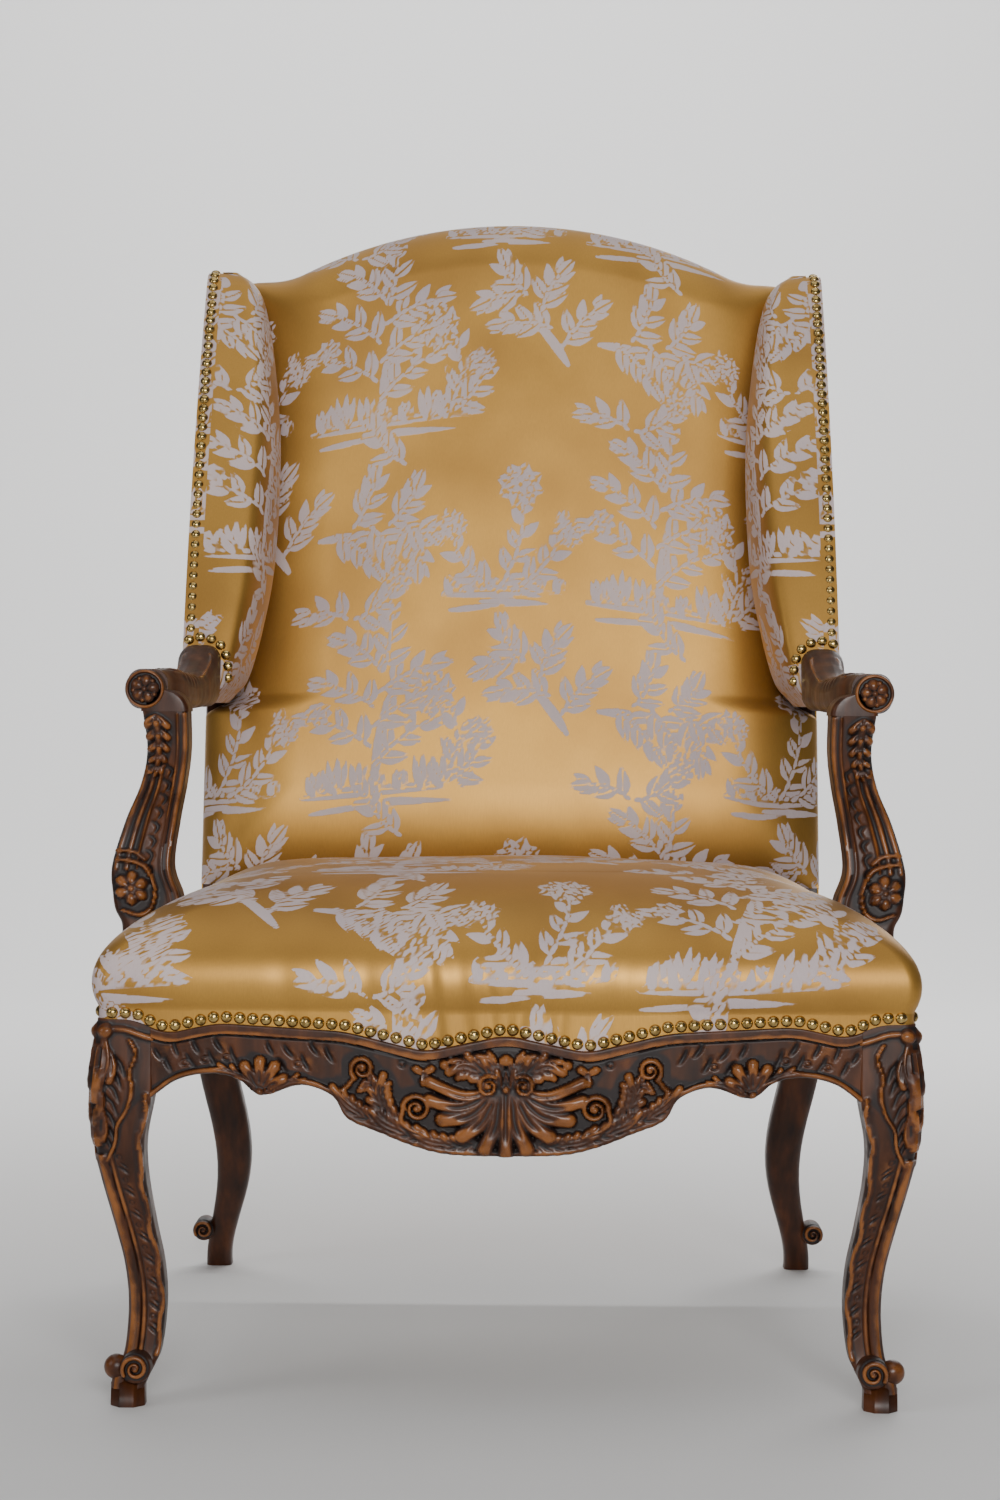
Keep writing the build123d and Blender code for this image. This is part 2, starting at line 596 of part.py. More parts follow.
def back_lower_rail():
    """The rail across the foot of the back, with a tenon at each end."""
    board = box_between((-STILE_INNER_X, 0, LOWER_RAIL_BOTTOM),
                        (STILE_INNER_X, STILE_DEPTH, LOWER_RAIL_BOTTOM + LOWER_RAIL_DEPTH))
    tenon = back_tenon(lower_tenon_bottom())
    return BACK_PLACE * (board + tenon + other_side(tenon))


def outer_back_cover():
    """The outside cover: behind the frame, round the stiles' sides and over the top."""
    outside = extrude(back_outline(-SHEET_THICKNESS, 0), -STILE_DEPTH - SHEET_THICKNESS)
    inside = extrude(back_outline(0, -SHEET_THICKNESS), -STILE_DEPTH)
    frame = box_between((-BIG, -BIG, 0), (BIG, BIG, FRAME_TOP))
    return BACK_PLACE * (outside - inside) - frame


def back_webbing():
    """Bands across the back: a level layer on the stiles and an upright layer before it."""
    bands = []
    low = LOWER_RAIL_BOTTOM
    high = SHOULDER_HEIGHT - CREST_DEPTH / 2
    for index in range(BACK_CROSS_BANDS):
        middle = low + (high - low) * (index + 0.5) / BACK_CROSS_BANDS
        bands.append(box_between((-WING_INNER_X + SOFT_CLEARANCE, -WEBBING_THICKNESS, middle - WEBBING_WIDTH / 2),
                                 (WING_INNER_X - SOFT_CLEARANCE, 0, middle + WEBBING_WIDTH / 2)))
    for index in range(BACK_UPRIGHT_BANDS):
        middle = STILE_INNER_X * (2 * (index + 0.5) / BACK_UPRIGHT_BANDS - 1)
        bands.append(box_between((middle - WEBBING_WIDTH / 2, -2 * WEBBING_THICKNESS, BACK_PAD_BOTTOM),
                                 (middle + WEBBING_WIDTH / 2, -WEBBING_THICKNESS, high)))
    return [BACK_PLACE * band for band in bands]


def back_pad(shrink):
    """The crowned front of the back, smaller all round by a thickness."""
    sections = []
    for forward, inset in crown_profile(BACK_PAD_DEPTH, BACK_PAD_SHOULDER, 0.0, shrink):
        sections.append(Pos(0, -2 * WEBBING_THICKNESS - forward, 0) * back_pad_outline(inset))
    return BACK_PLACE * loft(sections, ruled=True)


# Wings

def wing_edge_points(inset):
    """Foot, middle and top of the wing's front edge seen from the side, drawn in by an inset."""
    middle = (WING_TOP + WING_BOTTOM) / 2
    return ((back_front_y(WING_BOTTOM) - WING_FOOT_DEPTH + inset, WING_BOTTOM + inset),
            (back_front_y(middle) - WING_MIDDLE_DEPTH + inset, middle),
            (back_front_y(WING_TOP) - WING_TOP_DEPTH + inset, WING_TOP - inset))


def wing_front_y(height):
    """The front edge of the wing at a height, before the top corner is rounded."""
    foot, middle, top = [y for y, _ in wing_edge_points(0)]
    share = (height - WING_BOTTOM) / (WING_TOP - WING_BOTTOM)
    bend = 4 * (middle - (foot + top) / 2) * share * (1 - share)
    return foot + share * (top - foot) + bend


def wing_front_edge(inset):
    """The wing's front edge as one hollow arc, drawn in by an inset."""
    return ThreePointArc(*wing_edge_points(inset))


def wing_outline(inset, rear_gap=0.0):
    """The wing seen from the side, drawn in by an inset, back to a gap before the stile."""
    top = WING_TOP - inset
    bottom = WING_BOTTOM + inset
    foot, _, head = wing_edge_points(inset)
    rear = (back_front_y(top) - rear_gap, top)
    back = Polyline(head, rear, (back_front_y(bottom) - rear_gap, bottom), foot)
    face = make_face([wing_front_edge(inset), back])
    corner = [vertex for vertex in face.vertices() if abs(vertex.X - head[0]) + abs(vertex.Y - top) < 1]
    return fillet(corner, min(WING_TOP_RADIUS, (rear[0] - head[0]) / 2))


def wing_board(outline):
    """A wing outline as a board as thick as the right wing's frame."""
    return Pos(WING_INNER_X, 0, 0) * extrude(Plane.YZ * outline, WING_FRAME_THICKNESS)


def wing_front_stile():
    """The curved front member of the right wing."""
    outline = wing_outline(0)
    behind = Pos(WING_BAND, 0) * wing_outline(0) + Pos(2 * WING_BAND, 0) * wing_outline(0)
    face = outline - behind
    stile = wing_board(face) & wing_board(outline)
    return stile - arm_tenon(WOOD_CLEARANCE)


def wing_rail(bottom, top):
    """A level member of the right wing between its front stile and the back stile."""
    zone = box_between((0, -BIG, bottom), (BIG, BIG, top))
    inner = Pos(WING_BAND + WOOD_CLEARANCE, 0) * wing_outline(0)
    return wing_board(wing_outline(0) & inner) & zone


def wing_outer_cover():
    """The right wing's outside cover, turned round its front edge and over its top."""
    outside = Pos(WING_INNER_X, 0, 0) * extrude(
        Plane.YZ * wing_outline(-SHEET_THICKNESS), WING_FRAME_THICKNESS + SHEET_THICKNESS)
    above = box_between((0, -BIG, WING_BOTTOM), (BIG, BIG, BIG))
    return (outside & above) - wing_board(wing_outline(0)) - arm_tenon(WOOD_CLEARANCE)


def wing_pad(shrink):
    """The stuffed roll on the inner face of the right wing, smaller all round by a thickness."""
    sections = []
    for inward, inset in crown_profile(WING_PAD_DEPTH, WING_PAD_SHOULDER, 0.0, shrink):
        outline = wing_outline(inset, WING_BACK_GAP + shrink)
        sections.append(Pos(WING_INNER_X - SOFT_CLEARANCE - inward, 0, 0) * (Plane.YZ * outline))
    return loft(sections, ruled=True)


# Seat upholstery

def seat_pad(shrink):
    """The crowned seat, smaller all round by a thickness and cut for the supports and the back."""
    sections = []
    for rise, inset in crown_profile(SEAT_PAD_DEPTH, SEAT_PAD_SHOULDER, SEAT_PAD_SWELL, shrink):
        sections.append(Pos(0, 0, PAD_BASE + rise) * seat_plan(inset))
    pad = loft(sections, ruled=True)
    reach = BACK_PAD_DEPTH + 2 * WEBBING_THICKNESS + SOFT_CLEARANCE + shrink
    lowest = BACK_PAD_BOTTOM - SOFT_CLEARANCE - shrink
    back_room = BACK_PLACE * box_between((-BIG, -reach, lowest), (BIG, BIG, BIG))
    return pad - back_room - support_room(shrink) - other_side(support_room(shrink))


def support_room(shrink):
    """The room that the seat leaves for the right arm support."""
    margin = SOFT_CLEARANCE + shrink
    half = SUPPORT_DEPTH / 2 + margin
    lean = SUPPORT_STATIONS[1][3]
    inner = support_x(SUPPORT_BASE_INSET) - SUPPORT_BASE_WIDTH / 2 - margin
    return box_between((inner, SUPPORT_Y - half, 0), (BIG, SUPPORT_Y + half + lean, BIG))


def seat_cover():
    """The seat's cover with its nailed edge."""
    shell = seat_pad(0.0) - seat_pad(COVER_THICKNESS)
    return shell + cover_band(SOFT_CLEARANCE)


def seat_webbing():
    """Bands across the seat: a layer from front to rear and a layer from side to side."""
    front = FRONT_Y + FRONT_RAIL_THICKNESS / 2
    rear = REAR_LEG_Y + STILE_DEPTH / 2
    bands = []
    for index in range(SEAT_BANDS):
        middle = STILE_INNER_X * (2 * (index + 0.5) / SEAT_BANDS - 1)
        bands.append(box_between((middle - WEBBING_WIDTH / 2, front, FRAME_TOP),
                                 (middle + WEBBING_WIDTH / 2, rear, FRAME_TOP + WEBBING_THICKNESS)))
    inside_front = FRONT_Y + FRONT_RAIL_THICKNESS
    room = support_room(0.0)
    for index in range(SEAT_BANDS):
        middle = inside_front + (REAR_LEG_Y - inside_front) * (index + 0.5) / SEAT_BANDS
        half = side_x(middle) - RAIL_THICKNESS / 2
        band = box_between((-half, middle - WEBBING_WIDTH / 2, FRAME_TOP + WEBBING_THICKNESS),
                           (half, middle + WEBBING_WIDTH / 2, WEBBING_TOP))
        bands.append(band - room - other_side(room))
    return bands


def seat_hessian():
    """The hessian sheet over the seat's webbing."""
    sheet = extrude(Pos(0, 0, WEBBING_TOP) * seat_plan(REBATE_DEPTH + SOFT_CLEARANCE), HESSIAN_THICKNESS)
    room = support_room(0.0)
    return sheet - room - other_side(room)


# Nails

def nail():
    """One dome nail with its flat side down on the plane z = 0."""
    ball = (NAIL_RADIUS ** 2 + NAIL_HEIGHT ** 2) / (2 * NAIL_HEIGHT)
    dome = Pos(0, 0, NAIL_HEIGHT - ball) * Sphere(ball)
    return dome & box_between((-ball, -ball, 0), (ball, ball, ball))


def placed_nail(point, outward):
    """A nail on a point, facing outwards."""
    return Plane(origin=point, z_dir=outward).location * nail()


def seat_front_nails():
    """Nails along the wavy line of the front."""
    wave = rail_top_wave(NAIL_RISE, FRONT_HALF_WIDTH - SEAT_CORNER_RADIUS)
    count = round(wave.length / NAIL_PITCH)
    spots = [wave @ (index / count) for index in range(count + 1)]
    radius = (FRONT_HALF_WIDTH ** 2 + FRONT_BOW ** 2) / (2 * FRONT_BOW)
    centre_y = FRONT_Y - FRONT_BOW + radius
    nails = []
    for spot in spots:
        y = centre_y - sqrt(radius ** 2 - spot.X ** 2)
        nails.append(placed_nail((spot.X, y, spot.Y), (spot.X, y - centre_y, 0)))
    return nails


def seat_side_nails():
    """Nails along the right side of the seat."""
    height = RAIL_TOP_LINE[-1][1] + NAIL_RISE
    start = FRONT_Y + SEAT_CORNER_RADIUS
    end = REAR_LEG_Y - SEAT_CORNER_RADIUS
    count = round((end - start) / NAIL_PITCH)
    outward = (REAR_LEG_Y - FRONT_Y, FRONT_HALF_WIDTH - REAR_HALF_WIDTH, 0)
    nails = []
    for index in range(count + 1):
        y = start + (end - start) * index / count
        nails.append(placed_nail((side_x(y), y, height), outward))
    return nails


def wing_nails():
    """Nails up the front edge of the right wing, from the arm to the rounded top."""
    x = REAR_HALF_WIDTH + SHEET_THICKNESS - WING_NAIL_EDGE
    edge = wing_front_edge(-SHEET_THICKNESS)
    lowest = ARM_HEIGHT + ARM_REAR_RISE + ARM_REAR_HEIGHT / 2 + 2 * NAIL_RADIUS
    highest = WING_TOP - WING_TOP_RADIUS - NAIL_RADIUS
    count = round(edge.length / NAIL_PITCH)
    nails = []
    for index in range(count + 1):
        spot = edge @ (index / count)
        along = edge % (index / count)
        if lowest < spot.Y < highest:
            nails.append(placed_nail((x, spot.X, spot.Y), (0, -along.Y, along.X)))
    return nails


# The whole chair, with its box centred over the origin

def group(solids):
    """Several separate solids in one node."""
    return Compound(children=solids)


def all_pieces():
    """Every node by name."""
    pieces = {
        "front_rail": front_rail(),
        "rear_rail": rear_rail(),
        "corner_blocks": group(corner_blocks()),
        "crest_rail": back_crest(),
        "lower_back_rail": back_lower_rail(),
        "seat_webbing": group(seat_webbing()),
        "seat_hessian": seat_hessian(),
        "seat_stuffing": seat_pad(COVER_THICKNESS + SOFT_CLEARANCE),
        "seat_cover": seat_cover(),
        "back_webbing": group(back_webbing()),
        "back_stuffing": back_pad(COVER_THICKNESS + SOFT_CLEARANCE),
        "back_cover": back_pad(0.0) - back_pad(COVER_THICKNESS),
        "outer_back_cover": outer_back_cover(),
        "seat_front_nails": group(seat_front_nails()),
    }
    pairs = {
        "front_leg": front_leg(),
        "rear_leg": rear_leg(),
        "side_rail": side_rail(),
        "arm": arm(),
        "arm_support": arm_support(),
        "arm_dowel": arm_dowel(),
        "wing_front_stile": wing_front_stile(),
        "wing_top_rail": wing_rail(WING_TOP - WING_BAND, WING_TOP),
        "wing_lower_rail": wing_rail(WING_BOTTOM, WING_BOTTOM + WING_BAND),
        "wing_outer_cover": wing_outer_cover(),
        "wing_stuffing": wing_pad(COVER_THICKNESS + SOFT_CLEARANCE),
        "wing_cover": wing_pad(0.0) - wing_pad(COVER_THICKNESS),
        "seat_side_nails": group(seat_side_nails()),
        "wing_nails": group(wing_nails()),
    }
    for name, piece in pairs.items():
        pieces[name + "_right"] = piece
        pieces[name + "_left"] = other_side(piece)
    return pieces


def main():
    pieces = all_pieces()
    boxes = [piece.bounding_box() for piece in pieces.values()]
    front = min(box.min.Y for box in boxes)
    rear = max(box.max.Y for box in boxes)
    os.makedirs("parts", exist_ok=True)
    for name, piece in sorted(pieces.items()):
        export_step(Pos(0, -(front + rear) / 2, 0) * piece, f"parts/{name}.step")


main()
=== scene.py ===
# Looks of the open-arm wing chair: carved walnut, botanical satin, antique brass nails.
# Lengths are millimetres in the chair's frame and become metres where a mesh is made.
import json
from math import cos, pi, radians, sin, sqrt

import bpy
import numpy as np
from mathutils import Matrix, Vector

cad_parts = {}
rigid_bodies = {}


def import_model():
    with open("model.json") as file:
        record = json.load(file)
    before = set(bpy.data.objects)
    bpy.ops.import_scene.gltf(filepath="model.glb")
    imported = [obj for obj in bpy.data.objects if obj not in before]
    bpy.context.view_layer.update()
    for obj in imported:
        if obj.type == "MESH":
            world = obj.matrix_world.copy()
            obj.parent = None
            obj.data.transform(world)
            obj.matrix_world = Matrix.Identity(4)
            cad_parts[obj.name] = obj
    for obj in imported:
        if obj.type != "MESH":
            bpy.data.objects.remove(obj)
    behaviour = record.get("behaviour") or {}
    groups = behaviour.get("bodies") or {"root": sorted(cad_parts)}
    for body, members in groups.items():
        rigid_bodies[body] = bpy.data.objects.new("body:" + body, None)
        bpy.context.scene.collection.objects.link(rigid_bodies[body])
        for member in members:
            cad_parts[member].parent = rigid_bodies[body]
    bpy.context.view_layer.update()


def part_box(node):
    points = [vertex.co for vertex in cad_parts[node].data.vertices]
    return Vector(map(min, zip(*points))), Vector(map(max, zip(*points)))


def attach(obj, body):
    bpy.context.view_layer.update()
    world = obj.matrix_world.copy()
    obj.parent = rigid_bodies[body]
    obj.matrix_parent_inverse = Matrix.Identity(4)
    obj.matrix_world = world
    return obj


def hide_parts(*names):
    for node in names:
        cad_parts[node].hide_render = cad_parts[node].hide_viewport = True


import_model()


def corner(node, end):
    """A corner of a CAD node's box in millimetres: 0 is the lowest, 1 the highest."""
    return np.array(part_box(node)[end]) * 1000


# Places taken from the frame
FRONT_HALF = corner("front_leg_right", 1)[0]
FRONT_Y = corner("front_leg_right", 0)[1]
FRAME_TOP = corner("rear_rail", 1)[2]
REAR_HALF = corner("wing_lower_rail_right", 1)[0]
REAR_Y = corner("rear_rail", 0)[1]
RAIL_REAR_Y = corner("front_rail", 1)[1]
PAD_BASE = corner("seat_hessian", 1)[2]
WING_BOTTOM = corner("wing_lower_rail_right", 0)[2]
WING_TOP = corner("wing_top_rail_right", 1)[2]
WING_INNER_X = corner("wing_lower_rail_right", 0)[0]
ARM_FRONT_Y = corner("arm_right", 0)[1]

# Seat: the same crowned form as its CAD solid, with corners that round off as it rises
BOW = 12.0
SEAT_RISE = 112.0
SEAT_SHOULDER = 178.0
# Angles in degrees at which the crowned edge starts, below level, and ends
SEAT_SWELL = 14.0
CROWN_END = 84.0
# Corner radius at the base, and how fast it grows with the inset
SEAT_CORNER = 14.0
CORNER_GROWTH = 0.62
# Rise of the top from its edge to its middle, and size of the seat's cells
TOP_DOME = 4.0
SEAT_STEP = 3.0
# How far the frame is cut back behind the nailed edge
REBATE = 5.0

# Front rail's line of nails, by distance from the middle and height
NAIL_LINE = ((0.0, 330.0), (70.0, 315.0), (140.0, 332.0), (250.0, 338.0), (296.0, 328.0), (322.0, 340.0))
NAIL_LINE_ROUNDING = 24.0

# Back, measured along its rake from the top of the seat frame
BACK_RAKE = radians(10.2)
SHOULDER_HEIGHT = 740.0
HUMP_RISE = 66.0
HUMP_RADIUS = 495.0
COVE_RADIUS = 80.0
BACK_BOTTOM = 76.0
BACK_DEPTH = 46.0
# Widths over which the stuffed back rounds off at its sides and foot, and at its top
BACK_SHOULDER = 105.0
BACK_TOP_SHOULDER = 60.0
# Depth of the stiles, and room that the webbing and a cover take up
STILE_DEPTH = 36.0
WEBBING_DEPTH = 3.0
COVER = 2.0
# Size of the back's cells
BACK_STEP = 2.35
# Room beside the stuffed back, between the wings, and behind it
BACK_SIDE_GAP = 1.0
BACK_REAR_GAP = 0.4

# Wings: depth of the front edge before the back stile at its foot, middle and top
WING_FOOT_DEPTH = 232.2
WING_MIDDLE_DEPTH = 186.7
WING_TOP_DEPTH = 95.0
# Width of the nailed strip along the front edge
NAIL_STRIP = 15.0
# Height and inward bulge of the wing's padded roll
WING_ROLL = (
    (614.0, 4.0), (622.0, 14.0), (640.0, 29.0), (691.0, 43.0), (764.0, 54.0),
    (881.0, 56.0), (980.0, 46.0), (1040.0, 34.0), (1064.0, 22.0), (1076.0, 6.0),
)

# Wings: the rounded corner at the top and the stuffed roll
WING_TOP_RADIUS = 34.0
# Room between a roll's rear edge and the back
WING_REAR_GAP = 32.0
# How far a roll leans forward and the turn over which it does, and the power that makes it full
ROLL_FORWARD = 13.0
ROLL_FRONT = 1.7
ROLL_FULLNESS = 0.72
# The rolls' flat backs, just clear of the wing frames
ROLL_BACK_X = WING_INNER_X - 0.5
# Bulge from which a roll leans fully forward
LEANING_BULGE = 40.0
# Turn over which a roll's lip reaches out, and how far it overlaps the nailed strip
LIP_TURN = 0.55
LIP_OVERLAP = 2.0
# Size of the rolls' cells
WING_STEP = 2.4
# Room between the wing's front edge and what lies against it
FRONT_ROOM = 0.6

# Covers: the cloth's thickness
SHEET_THICKNESS = 1.2
# Room between the edges of a wing's outside cover and what they meet
SHEET_GAP = 0.5
# Turned-in hems, and the low edge and puff of the outside back
OUTSIDE_BOTTOM = 2.0
PUFF = 2.5
PUFF_SHOULDER = 90.0
# How sharply the stuffed back's edges meet in its corners
BACK_EDGE_SHARPNESS = 2.2
# Depth of the shallow ripples in the stuffed back, and their lengths across and up
RIPPLE = 0.6
RIPPLE_LENGTHS = (53.0, 71.0)

# Seat's creases: place from the middle, width and depth of each, where the nails pull
SEAT_CREASES = (
    (-62.0, 7.0, 2.2), (-38.0, 9.0, 1.6), (-14.0, 6.0, 1.4), (12.0, 8.0, 2.4), (47.0, 7.0, 1.8),
    (96.0, 10.0, 1.2), (-118.0, 9.0, 1.2), (165.0, 10.0, 0.9), (-190.0, 11.0, 0.9),
)
# Reach of the creases from the front edge, their heights above the pad's base, and their lean
CREASE_REACH = 90.0
CREASE_HEIGHTS = (20.0, 95.0)
CREASE_LEAN = 0.12
# Depth of the shallow hollows on the seat, and their lengths across and along
HOLLOW = 1.6
HOLLOW_LENGTHS = (41.0, 57.0)
# Heights above the pad's base between which the hollows begin
HOLLOW_HEIGHTS = (40.0, 100.0)
# About half the width of the seat's cloth
SEAT_CLOTH_HALF = 400.0

# Front rail
LEG_BLOCK = 48.0
LEG_INNER_X = FRONT_HALF - LEG_BLOCK
# Distance from the middle and height of its scalloped lower edge
LOWER_LINE = (
    (0.0, 225.0), (60.0, 228.0), (112.0, 246.0), (137.0, 257.0), (150.0, 276.0), (178.0, 285.0),
    (211.0, 276.0), (232.0, 290.0), (257.0, 294.0), (285.0, 288.0), (308.0, 272.0),
)
# Size of the carving's cells
CARVING_STEP = 1.35
# A face is carved to its full height where it faces forward or outward more than this
FULL_FACE = 0.7
# Depth of the sunk ground, and width of the flat lip below the nails
GROUND_DEPTH = 1.6
LIP = 9.0
# Tip, bend and width of the fan of lobes below the cartouche, from the side to the middle
CARTOUCHE_LOBES = (
    ((66, 289), (36, 277), 11.0), ((66, 273), (38, 268), 13.0), ((54, 257), (30, 261), 14.5),
    ((37, 243), (20, 256), 15.5), ((18, 232), (8, 254), 15.5),
)
# Foot, length and slant of the gouge cuts on the rail's quiet stretches
RAIL_GOUGES = (
    (150, 306, 14, 1.1), (163, 312, 12, 1.0), (171, 299, 14, 1.1), (184, 309, 13, 0.9), (191, 297, 12, 1.0),
    (202, 312, 11, 1.1), (234, 304, 14, 1.2), (246, 314, 12, 1.0), (252, 302, 13, 1.1), (266, 312, 12, 1.1),
    (270, 300, 14, 1.0), (284, 309, 13, 1.2), (290, 296, 14, 1.1), (299, 306, 11, 1.0),
)

# Front legs: height, width and how far the outer faces lie inside the frame's
LEG_STATIONS = (
    (16.0, 26.0, 15.0), (30.0, 30.0, 17.0), (46.0, 29.0, 25.0), (85.0, 30.0, 28.0), (121.0, 31.0, 25.0),
    (157.0, 32.5, 17.0), (200.0, 37.0, 6.0), (234.0, 43.0, -1.0), (275.0, 52.5, -4.0), (312.0, 51.0, -2.0),
    (340.0, 49.0, 0.0),
)
LEG_ROWS = 250
# How far a leg goes on behind the nailed cover
LEG_TOP_LENGTH = 45.0
# Corner radius as a share of half the leg's width
LEG_ROUNDING = 0.44
# Heights between which the rail's end squares one corner
RAIL_JOINT = (262.0, 276.0)
# How much the two reeds down a leg's corner get wear and a painted highlight
REED_WEAR_AND_HIGHLIGHT = 0.4
# Height at which the reeds end below the knee
REED_TOP = 222.0
# Heights of the groups of gouge cuts up a leg
LEG_CUTS = 62.0 + 20.5 * np.arange(8)
# Wavy border of a knee, by distance from the leg's outer corner and height
KNEE_BORDER = ((31, 322), (37, 310), (33, 294), (36, 280), (31, 262), (22, 248), (18, 232), (8, 216))
# Line, width and height of the long leaves down a knee's corner
KNEE_LEAVES = (
    (((9, 322), (12, 302), (7, 282)), 9.0, 5.2), (((4, 316), (3, 294), (4, 270)), 8.0, 5.0),
    (((14, 312), (18, 298), (16, 287)), 8.0, 4.4), (((7, 288), (9, 268), (4, 250)), 7.6, 4.8),
    (((3, 264), (5, 246), (3, 232)), 7.0, 4.4), (((10, 262), (11, 246), (8, 236)), 6.4, 3.8),
)
FOOT_HEIGHT = 20.0
FOOT_INSET = 12.0
FOOT_WIDTH = 30.0
FOOT_REACH = 16.2
SCROLL_HEIGHT = 35.0
SCROLL_RADIUS = 13.5
SCROLL_LENGTH = 38.0
# How much the block and the ball of a foot get wear and a painted highlight
FOOT_WEAR_AND_HIGHLIGHT = 0.12
BALL_WEAR_AND_HIGHLIGHT = 0.35

# Arms and their supports
ARM_HEIGHT = 627.0
ROUNDEL_RADIUS = 18.5
ROUNDEL_LENGTH = 42.0
ROUNDEL_EDGE = 3.0
# Depth within a roundel at which the arm's own section starts
ROUNDEL_OVERLAP = 14.0
# Corner radius as a share of half the arm's section
ARM_ROUNDING = 0.72
# How far the arm's end reaches in below the wing
ARM_UNDERLAP = 6.0
ROUNDEL_X = corner("arm_right", 1)[0] - ROUNDEL_RADIUS
# Depth before the wing, distance from the middle, height, width and tallness of the arm
ARM_STATIONS = (
    (-203.0, 334.0, ARM_HEIGHT, 37.0, 37.0), (-178.0, 332.0, ARM_HEIGHT, 37.5, 37.0),
    (-150.0, 324.0, ARM_HEIGHT, 37.0, 36.0), (-90.0, 316.0, 624.0, 36.0, 31.0),
    (-40.0, 313.0, 626.0, 36.0, 34.0), (-4.0, 310.5, 633.0, 38.0, 46.0),
    (22.0, 310.0, 640.0, 41.0, 60.0), (40.0, 310.0, 641.0, 41.0, 62.0),
)
SUPPORT_DEPTH = 44.0
# How much slimmer a support's hidden foot is on each side, and how far it lies inward
SUPPORT_FOOT_INSET = 4.0
SUPPORT_FOOT_SHIFT = 3.0
# How far the parts of one piece run into each other
PART_OVERLAP = 2.0
# Height, inset of the centre from the seat's side, width and setback
SUPPORT_STATIONS = (
    (396.0, 20.3, 54.0, 0.0), (412.0, 20.3, 55.0, 0.0), (424.0, 17.0, 61.0, 3.0), (438.0, 14.5, 62.0, 7.0),
    (464.0, 9.0, 55.0, 14.0), (505.0, 16.8, 48.0, 20.0), (540.0, 27.8, 40.0, 14.0), (572.0, 33.3, 38.0, 6.0),
    (608.5, 31.3, 42.0, 0.0),
)
# Distance of the hanging chain of husks from the support's outer edge
HUSKS = 12.0
# Heights between which a support's inner beads and its reeds are drawn
SUPPORT_BEAD_LINE = (416.0, 604.0)
SUPPORT_REED_LINE = (462.0, 604.0)
# Inset from the support's inner edge, width and height of each bead
SUPPORT_BEADS = ((3.0, 4.4, 3.0), (9.0, 2.6, 1.8))
# Height at which a support's reeds end under the husks
SUPPORT_REED_TOP = 556.0
# Place as a share of the support's width, width and height of each reed
SUPPORT_REEDS = ((0.44, 3.2, 2.4), (0.10, 5.0, 2.6), (0.27, 5.4, 2.4))
# Frame round the flower on a support, by distance from its outer edge and height
FLOWER_FRAME = ((5, 470), (20, 468), (33, 462), (40, 446), (36, 428), (22, 420), (8, 424))
SUPPORT_Y = corner("arm_support_right", 0)[1] + SUPPORT_DEPTH / 2
# Room that the seat's cover leaves round a support, which leans back as it rises and is carved in front
SUPPORT_ROOM = 23.0
SUPPORT_ROOM_X = 297.0
CARVING_ROOM = 6.0
# Heights between which a support's carving begins
CARVING_START = (404.0, 420.0)
# Width over which the cover turns in round a support
CUT_EDGE = 4.0

# Nails
NAIL_RADIUS = 5.2
NAIL_HEIGHT = 3.4
NAIL_PITCH = 11.4
# Distance from the middle and height of the nails' line round the arm's end
ARM_NAIL_LINE = (
    (322.0, 677.0), (309.0, 680.0), (296.0, 676.0), (287.0, 667.0), (283.0, 652.0), (283.0, 634.0),
)

# Scrolls on the rear feet
REAR_SCROLL_RADIUS = 11.5
REAR_SCROLL_LENGTH = 26.0
REAR_SCROLL_PLACE = (330.0, 266.0, 42.0)

# Webbing
BANDS = 5
BAND_WIDTH = 55.0
BAND_THICKNESS = 1.2
BAND_WAVE = 0.85
# How far a crosswise band ends inside the frame's outer face
BAND_ENDS = 15.0
WEBBING_LOW = corner("seat_webbing", 0)
WEBBING_HIGH = corner("seat_webbing", 1)
# Height of a band's upper face, before its wave
WEBBING_TOP = (WEBBING_LOW[2] + WEBBING_HIGH[2] + BAND_THICKNESS) / 2
# Half the width that the lengthwise bands share
WEBBING_INSIDE = 276.0
# Room left below and above the hessian
HESSIAN_GAP = 0.05

# Fabric design: one repeat, the cell and reach of its stored grid, and the sizes of its stems and leaves
REPEAT_WIDTH = 300.0
REPEAT_HEIGHT = 405.0
HALF_DROP = REPEAT_HEIGHT / 2
DESIGN_CELL = 1.25
DESIGN_REACH = 14.0
STEM_WIDTH = 5.0
LEAF_LENGTH = 33.0
# Narrower leaves have no gold vein
VEINED_WIDTH = 12.5
# A gold line goes round each leaf, mostly outside it
LINE_INSIDE = 1.0
# Start, length, tufts and height of the banks of grass
BANKS = (((10.0, 36.0), 188.0, 8, 44.0), ((156.0, 246.0), 136.0, 6, 34.0))
# Start, direction, length, curl and number of twigs of the boughs
BOUGHS = (
    ((88.0, 36.0), 1.68, 128.0, -0.4, 6), ((22.0, 318.0), 0.25, 96.0, -0.6, 5),
    ((292.0, 88.0), 1.9, 92.0, 0.5, 4),
)
# Start, direction, length, curl and number of leaves of the stems and loose sprays
SPRAYS = (
    ((164.0, 40.0), 1.2, 100.0, 0.9, 7), ((164.0, 40.0), 1.3, 60.0, -0.6, 5),
    ((168.0, 40.0), 0.6, 56.0, 0.8, 6), ((216.0, 244.0), 1.0, 118.0, 0.8, 9),
    ((212.0, 244.0), 2.5, 88.0, -0.8, 7), ((230.0, 244.0), 0.5, 92.0, 0.9, 8),
    ((62.0, 226.0), 0.2, 62.0, 1.1, 7), ((58.0, 226.0), 2.5, 46.0, 0.8, 5),
    ((118.0, 388.0), 2.6, 58.0, -0.9, 6),
)
